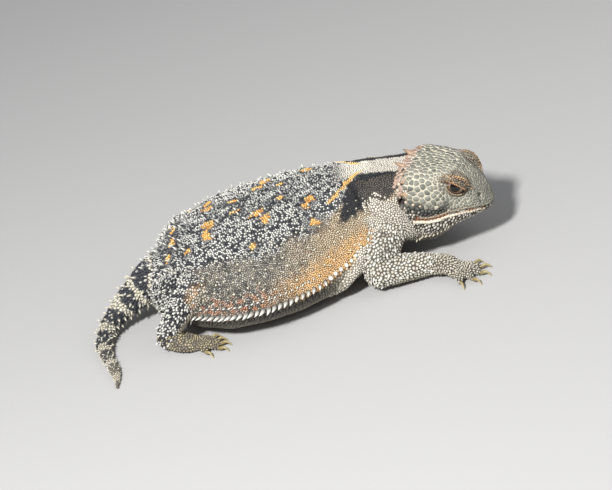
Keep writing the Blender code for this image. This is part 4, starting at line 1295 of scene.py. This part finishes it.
def grainGroup():
    # Mottled value, roughness and fine bumps that the materials share
    group = bpy.data.node_groups.new("grain", "ShaderNodeTree")
    face = group.interface
    for name, kind, value in (("Size", "NodeSocketFloat", 900), ("Depth", "NodeSocketFloat", 0.00003),
                              ("Contrast", "NodeSocketFloat", 0.3), ("Color", "NodeSocketColor", None),
                              ("Roughness", "NodeSocketFloat", 0.5)):
        socket = face.new_socket(name, in_out="INPUT", socket_type=kind)
        if value is not None:
            socket.default_value = value
    for name, kind in (("Color", "NodeSocketColor"), ("Roughness", "NodeSocketFloat"),
                       ("Normal", "NodeSocketVector")):
        face.new_socket(name, in_out="OUTPUT", socket_type=kind)
    nodes, links = group.nodes, group.links
    start = nodes.new("NodeGroupInput")
    end = nodes.new("NodeGroupOutput")
    where = nodes.new("ShaderNodeTexCoord")
    noise = nodes.new("ShaderNodeTexNoise")
    noise.inputs["Detail"].default_value = 5
    noise.inputs["Roughness"].default_value = 0.6
    links.new(where.outputs["Object"], noise.inputs["Vector"])
    links.new(start.outputs["Size"], noise.inputs["Scale"])
    centred = nodes.new("ShaderNodeMapRange")
    for key, value in (("From Min", 0.3), ("From Max", 0.7), ("To Min", -1), ("To Max", 1)):
        centred.inputs[key].default_value = value
    links.new(noise.outputs["Fac"], centred.inputs["Value"])
    lift = nodes.new("ShaderNodeMath")
    lift.operation = "MULTIPLY_ADD"
    lift.inputs[2].default_value = 1
    links.new(centred.outputs["Result"], lift.inputs[0])
    links.new(start.outputs["Contrast"], lift.inputs[1])
    tone = nodes.new("ShaderNodeHueSaturation")
    links.new(start.outputs["Color"], tone.inputs["Color"])
    links.new(lift.outputs["Value"], tone.inputs["Value"])
    links.new(tone.outputs["Color"], end.inputs["Color"])
    rough = nodes.new("ShaderNodeMath")
    rough.operation = "MULTIPLY_ADD"
    rough.inputs[1].default_value = 0.12
    links.new(centred.outputs["Result"], rough.inputs[0])
    links.new(start.outputs["Roughness"], rough.inputs[2])
    links.new(rough.outputs["Value"], end.inputs["Roughness"])
    bump = nodes.new("ShaderNodeBump")
    links.new(noise.outputs["Fac"], bump.inputs["Height"])
    links.new(start.outputs["Depth"], bump.inputs["Distance"])
    links.new(bump.outputs["Normal"], end.inputs["Normal"])
    return group


def grained(nodes, links, shader, colour, looks):
    # Runs a colour through the grain into the shader
    grain = nodes.new("ShaderNodeGroup")
    grain.node_tree = grainTree
    for key in ("Size", "Depth", "Contrast", "Roughness"):
        grain.inputs[key].default_value = looks[key.lower()]
    links.new(colour, grain.inputs["Color"])
    links.new(grain.outputs["Color"], shader.inputs["Base Color"])
    links.new(grain.outputs["Roughness"], shader.inputs["Roughness"])
    links.new(grain.outputs["Normal"], shader.inputs["Normal"])
    shader.inputs["Coat Weight"].default_value = looks.get("coat", 0)
    shader.inputs["Specular IOR Level"].default_value = looks.get("specular", 0.5)


def markedMaterial(name, looks):
    # Its colours are the markings painted on the mesh
    material = bpy.data.materials.new(name)
    nodes, links, shader = nodeTree(material)
    read = nodes.new("ShaderNodeAttribute")
    read.attribute_name = "markings"
    grained(nodes, links, shader, read.outputs["Color"], looks)
    return material


def rampMaterial(name, looks, stops):
    # Colours that change along a piece, read from its own share attribute
    material = bpy.data.materials.new(name)
    nodes, links, shader = nodeTree(material)
    read = nodes.new("ShaderNodeAttribute")
    read.attribute_name = "share"
    band = nodes.new("ShaderNodeValToRGB")
    elements = band.color_ramp.elements
    for i, (place, colour) in enumerate(stops):
        element = elements[i] if i < 2 else elements.new(place)
        element.position = place
        element.color = (*colour, 1)
    links.new(read.outputs["Fac"], band.inputs["Fac"])
    grained(nodes, links, shader, band.outputs["Color"], looks)
    return material


grainTree = grainGroup()


def finishPiece(obj, nodes, material):
    # Moves a piece into the frame of the solids, where it replaces their nodes
    writePoints(obj.data, (readPoints(obj.data) + shift) * mm)
    obj.data.polygons.foreach_set("use_smooth", np.ones(len(obj.data.polygons), bool))
    obj.data.materials.clear()
    obj.data.materials.append(material)
    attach(obj, "root")
    if nodes:
        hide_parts(*nodes)


def addTube(bm, rows, rings, sides, swell=None):
    # A tapering tube along rows of x, y, z, half width, half height, with its ends closed
    angles = roundAngles(sides)
    line = np.array(rows)[:, :3]
    ahead = unit(line[-1] - line[0])
    up = upright if abs(ahead[2]) < 0.9 else np.array([1.0, 0, 0])
    points = tubePoints(rows, up)
    share = bm.verts.layers.float.get("share") or bm.verts.layers.float.new("share")
    ring = None
    for i in range(rings + 1):
        t = i / rings
        centre = rowsAt(rows, np.array([t]))[0, :3]
        grow = 1 + (swell(t) if swell else 0)
        places = centre + (points(np.full(sides, t), angles) - centre) * grow
        ring, verts = addRing(bm, places, ring, i in (0, rings))
        for vert in verts:
            vert[share] = t


def tubePiece(name, tubes, rings, sides, swell=None):
    bm = bmesh.new()
    for rows in tubes:
        addTube(bm, rows, rings, sides, swell)
    bmesh.ops.recalc_face_normals(bm, faces=bm.faces)
    return meshObject(name, bm)


horn = {
    "occipital": {"places": [(1.6, 3.3, 7.0)], "length": [3.2], "radius": [1.05],
                  "root": (1.0, 0, -0.9), "lean": (-0.9, 0.1, 0.42)},
    "temporal": {"places": [(1.9, 6.9, 7.2), (2.3, 9.7, 6.2), (2.2, 10.5, 3.6)],
                 "length": [0.95, 0.9, 0.8], "radius": [0.85, 0.85, 0.8],
                 "root": (0.9, -0.9, -0.3), "lean": (-0.75, 0.5, 0.3)},
    "swell": (0.25, 0, 0.1), "rings": 22, "sides": 16, "ridge": 0.035, "ridges": 40,
}


def makeHorns(side, word):
    tubes = []
    for name in ("occipital", "temporal"):
        plan = horn[name]
        for place, length, radius in zip(plan["places"], plan["length"], plan["radius"]):
            place = np.array(place, float)
            base = sided(place + plan["root"], side)
            tip = sided(place + np.array(plan["lean"]) * length, side)
            middle = base + (tip - base) * 0.55 + horn["swell"]
            root = base + (base - middle) * 0.5
            line = moved(headMatrix, np.array([root, base, middle, tip]))
            radii = (radius, radius * 0.98, radius * 0.66, 0.08)
            tubes.append([(*p, r, r) for p, r in zip(line, radii)])
    obj = tubePiece(f"horns_{word}", tubes, horn["rings"], horn["sides"],
                    lambda t: horn["ridge"] * math.sin(t * horn["ridges"]))
    nodes = [f"occipital_horn_{word}"] + [f"temporal_horn_{word}_{i}" for i in (1, 2, 3)]
    finishPiece(obj, nodes, hornMaterial)


def makeClaws(place):
    kind, word = place.split("_")
    side = -1 if word == "right" else 1
    sizes = legSizes[kind]
    tubes = []
    for i in range(5):
        line, ahead = digitLine(legs[place], sizes, side, i)
        tip = line[-1]
        r = claw["radius"]
        start = tip - ahead * 0.9
        middle = tip + ahead * claw["length"] * 0.5 + upright * 0.3
        end = tip + ahead * claw["length"] * 0.95
        end[2] = 0.08
        tubes.append([(*start, r * 0.9, r), (*(tip + ahead * 0.15), r, r * 1.1),
                      (*middle, r * 0.66, r * 0.78), (*end, 0.07, 0.07)])
    part = sizes["nodes"][2]
    obj = tubePiece(f"claws_{part}_{word}", tubes, claw["rings"], claw["sides"])
    nodes = [f"claw_{part}_{word}_{i}" for i in range(1, 6)]
    finishPiece(obj, nodes, clawMaterial)


def makeEye(side, word):
    bm = bmesh.new()
    across, high = eye["segments"]
    bmesh.ops.create_uvsphere(bm, u_segments=across, v_segments=high, radius=eye["radius"])
    share = bm.verts.layers.float.new("share")
    for vert in bm.verts:
        vert[share] = math.acos(max(-1, min(1, vert.co.z / eye["radius"]))) / math.pi
    along, _, out = eyeAxes(side)
    turn = Matrix((np.array([along, np.cross(out, along), out]).T).tolist()).to_4x4()
    place = headMatrix @ Matrix.Translation(sided(eye["place"], side)) @ turn
    bmesh.ops.transform(bm, matrix=place, verts=bm.verts)
    bmesh.ops.recalc_face_normals(bm, faces=bm.faces)
    finishPiece(meshObject(f"eyeball_{word}", bm), [f"eye_{word}"], eyeMaterial)


addForms()
addFolds()
eyeLow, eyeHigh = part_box("eye_right")
eyeCentre = moved(headMatrix, sided(eye["place"], -1))
shift = np.array((eyeLow + eyeHigh) / 2) / mm - eyeCentre
shift[2] = 0
print("shift", shift.round(3))

skinObject = makeSkin()
print("skin", len(skinObject.data.polygons), "faces")
lids = {word: makeLids(side, word) for side, word in bothSides}
addLidForms()

skinTree = growTree(skinObject, lids)
density = {"trunk": 34, "neck": 34, "head": 32, "brow": 40, "fold": 26, "lid": 60, "other": 20}
candidates = joined([candidatesOn(form, density.get(form["kind"], density["other"]))
                     for form in forms.values()])
print("candidates", len(candidates["place"]))
candidates = clearOfHoles(clearOfEyes(snapped(candidates, skinTree, 1.1)))
extras = clearOfEyes(snapped(placeOrnaments(candidates), skinTree, 1.2), 0.02)
ornamentRadii = np.array([plan.get("radius", 0) for plan in ornaments.values()])
extraSizes = ornamentRadii[extras["ornament"]] * extras["size"]
extras["spacing"] = extraSizes * 0.95
inRow = np.isin(np.array(ornamentNames)[extras["ornament"]], ("upperLip", "lowerLip", "lidRim", "lidEdge"))
extras["spacing"][inRow] = extraSizes[inRow] * 0.6
candidates["spacing"] = spacingOf(candidates)
candidates = marked(candidates, "")
everything = joined([extras, candidates])
scales = thinned(everything, len(extras["place"]))
first = int((scales["ornament"] > 0).sum())
print("scales", len(scales["place"]), "of them ornaments", first)
scales = clearOfHoles(clearOfEyes(relaxed(scales, first, skinTree), 0.12))
scales = growCoat(scales)

scaleLooks = {"size": 1500, "depth": 0.00003, "contrast": 0.22, "roughness": 0.56, "specular": 0.35}
coatMaterial = markedMaterial("scales", scaleLooks)
hornMaterial = rampMaterial("horn", dict(scaleLooks, roughness=0.45), [
    (0, colours["hornBase"]), (1, colours["hornTip"]), (0.45, colours["hornBase"])])
clawMaterial = rampMaterial("claw", dict(scaleLooks, roughness=0.35, contrast=0.15), [
    (0, srgb(96, 84, 58)), (1, srgb(176, 160, 112))])
eyeMaterial = rampMaterial("eye", dict(scaleLooks, roughness=0.12, depth=0, contrast=0.35, coat=0.4), [
    (0, srgb(8, 8, 10)), (1, srgb(40, 30, 26)), (0.15, srgb(8, 8, 10)), (0.17, srgb(132, 104, 76)),
    (0.22, srgb(126, 110, 100)), (0.34, srgb(84, 70, 62))])
kinds = formKinds(scales)
lats = sideShare(scales)
isTrunk = kinds == "trunk"
headKinds = ("head", "neck", "brow", "fold", "lid")
isHead = np.isin(kinds, headKinds)
headForms = [n for n, f in forms.items() if f["kind"] in headKinds]
limbForms = [n for n, f in forms.items() if f["kind"] not in (*headKinds, "trunk")]
coatPieces = (
    ("scales_back", isTrunk & (lats < backEdge), ["trunk"], "dark_skin"),
    ("scales_flanks", isTrunk & (lats >= backEdge) & (lats < flankEdge), ["trunk"], "dark_skin"),
    ("scales_belly", isTrunk & (lats >= flankEdge), ["trunk"], "pale_skin"),
    ("scales_head", isHead, headForms, "head_skin"),
    ("scales_limbs", ~isTrunk & ~isHead, limbForms, "pale_skin"),
)
for name, mask, names, slot in coatPieces:
    coatPiece(name, groupsOf(scales, mask), names)

# The skin takes its markings from the scales that stand on it, darkened as painted shade in the gaps
# between them
tree = pointTree(scales["place"].tolist())
nearest = np.array([tree.find(p)[1] for p in readPoints(skinObject.data).tolist()])
skinTint = scales["base"][nearest] * 0.8
skinLocal = headLocal(readPoints(skinObject.data))
# Nostrils and ear openings are painted black, as painted shade inside the holes
for side, word in bothSides:
    for middle, radii in holes(side):
        dent = np.linalg.norm((skinLocal - middle) / radii, axis=1)
        skinTint = mix(skinTint, "black", (1 - ramp(dent, 0.75, 1.15)) * 0.9)
paintMesh(skinObject.data, skinTint)
fleshNodes = [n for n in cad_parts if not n.startswith(("eye", "claw", "occipital", "temporal"))]
finishPiece(skinObject, fleshNodes, markedMaterial("skin", dict(scaleLooks, roughness=0.7)))
lidMaterial = markedMaterial("eyelid", dict(scaleLooks, roughness=0.5))
for word, obj in lids.items():
    finishPiece(obj, [], lidMaterial)
for side, word in bothSides:
    makeHorns(side, word)
    makeEye(side, word)
for place in legs:
    makeClaws(place)

view = {
    "azimuth": 8.0, "elevation": 28.0, "roll": 19.0, "distance": 520.0, "millimetresPerPixel": 0.235,
    "frameWidth": 612, "place": (61.878, -451.557, 250.442), "sensor": 36, "nearest": 0.01,
}


def makeCamera():
    azimuth, elevation, tilt = (math.radians(view[k]) for k in ("azimuth", "elevation", "roll"))
    back = Vector((math.sin(azimuth) * math.cos(elevation), -math.cos(azimuth) * math.cos(elevation),
                   math.sin(elevation)))
    right = Vector((math.cos(azimuth), math.sin(azimuth), 0))
    up = back.cross(right)
    x = right * math.cos(tilt) - up * math.sin(tilt)
    y = right * math.sin(tilt) + up * math.cos(tilt)
    camera = bpy.data.cameras.new("camera")
    obj = added("camera", camera)
    place = Vector(view["place"]) + Vector(shift)
    obj.matrix_world = Matrix((
        (x.x, y.x, back.x, place.x * mm), (x.y, y.y, back.y, place.y * mm),
        (x.z, y.z, back.z, place.z * mm), (0, 0, 0, 1)))
    camera.sensor_width = view["sensor"]
    camera.lens = view["sensor"] * view["distance"] / (view["frameWidth"] * view["millimetresPerPixel"])
    camera.clip_start = view["nearest"]
    bpy.context.scene.camera = obj


lights = {  # places and sizes in metres
    "key": {"place": (-0.12, -0.40, 0.46), "size": 0.08, "power": 6.2},
    "fill": {"place": (0.4, -0.1, 0.35), "size": 0.4, "power": 0.6},
}


def areaLight(name, plan):
    # Aimed at the middle of the floor
    light = bpy.data.lights.new(name, "AREA")
    light.size = plan["size"]
    light.energy = plan["power"]
    obj = added(name, light)
    obj.location = plan["place"]
    obj.rotation_mode = "QUATERNION"
    obj.rotation_quaternion = (-Vector(plan["place"])).to_track_quat("-Z", "Y")


studio = {  # the floor's reach is half its side, in metres
    "sky": (0.9, 0.93, 1, 1), "skyStrength": 0.32, "floor": (0.42, 0.415, 0.405, 1), "floorRoughness": 0.8,
    "floorReach": 3,
}


def makeStudio():
    world = bpy.data.worlds.new("studio")
    bpy.context.scene.world = world
    world.use_nodes = True
    background = world.node_tree.nodes["Background"]
    background.inputs["Color"].default_value = studio["sky"]
    background.inputs["Strength"].default_value = studio["skyStrength"]
    bm = bmesh.new()
    bmesh.ops.create_grid(bm, x_segments=1, y_segments=1, size=studio["floorReach"])
    floor = meshObject("floor", bm)
    material = bpy.data.materials.new("floor")
    floor.data.materials.append(material)
    _, _, shader = nodeTree(material)
    shader.inputs["Base Color"].default_value = studio["floor"]
    shader.inputs["Roughness"].default_value = studio["floorRoughness"]
    bpy.context.scene.view_settings.view_transform = "Standard"


makeCamera()
for name, plan in lights.items():
    areaLight(name, plan)
makeStudio()
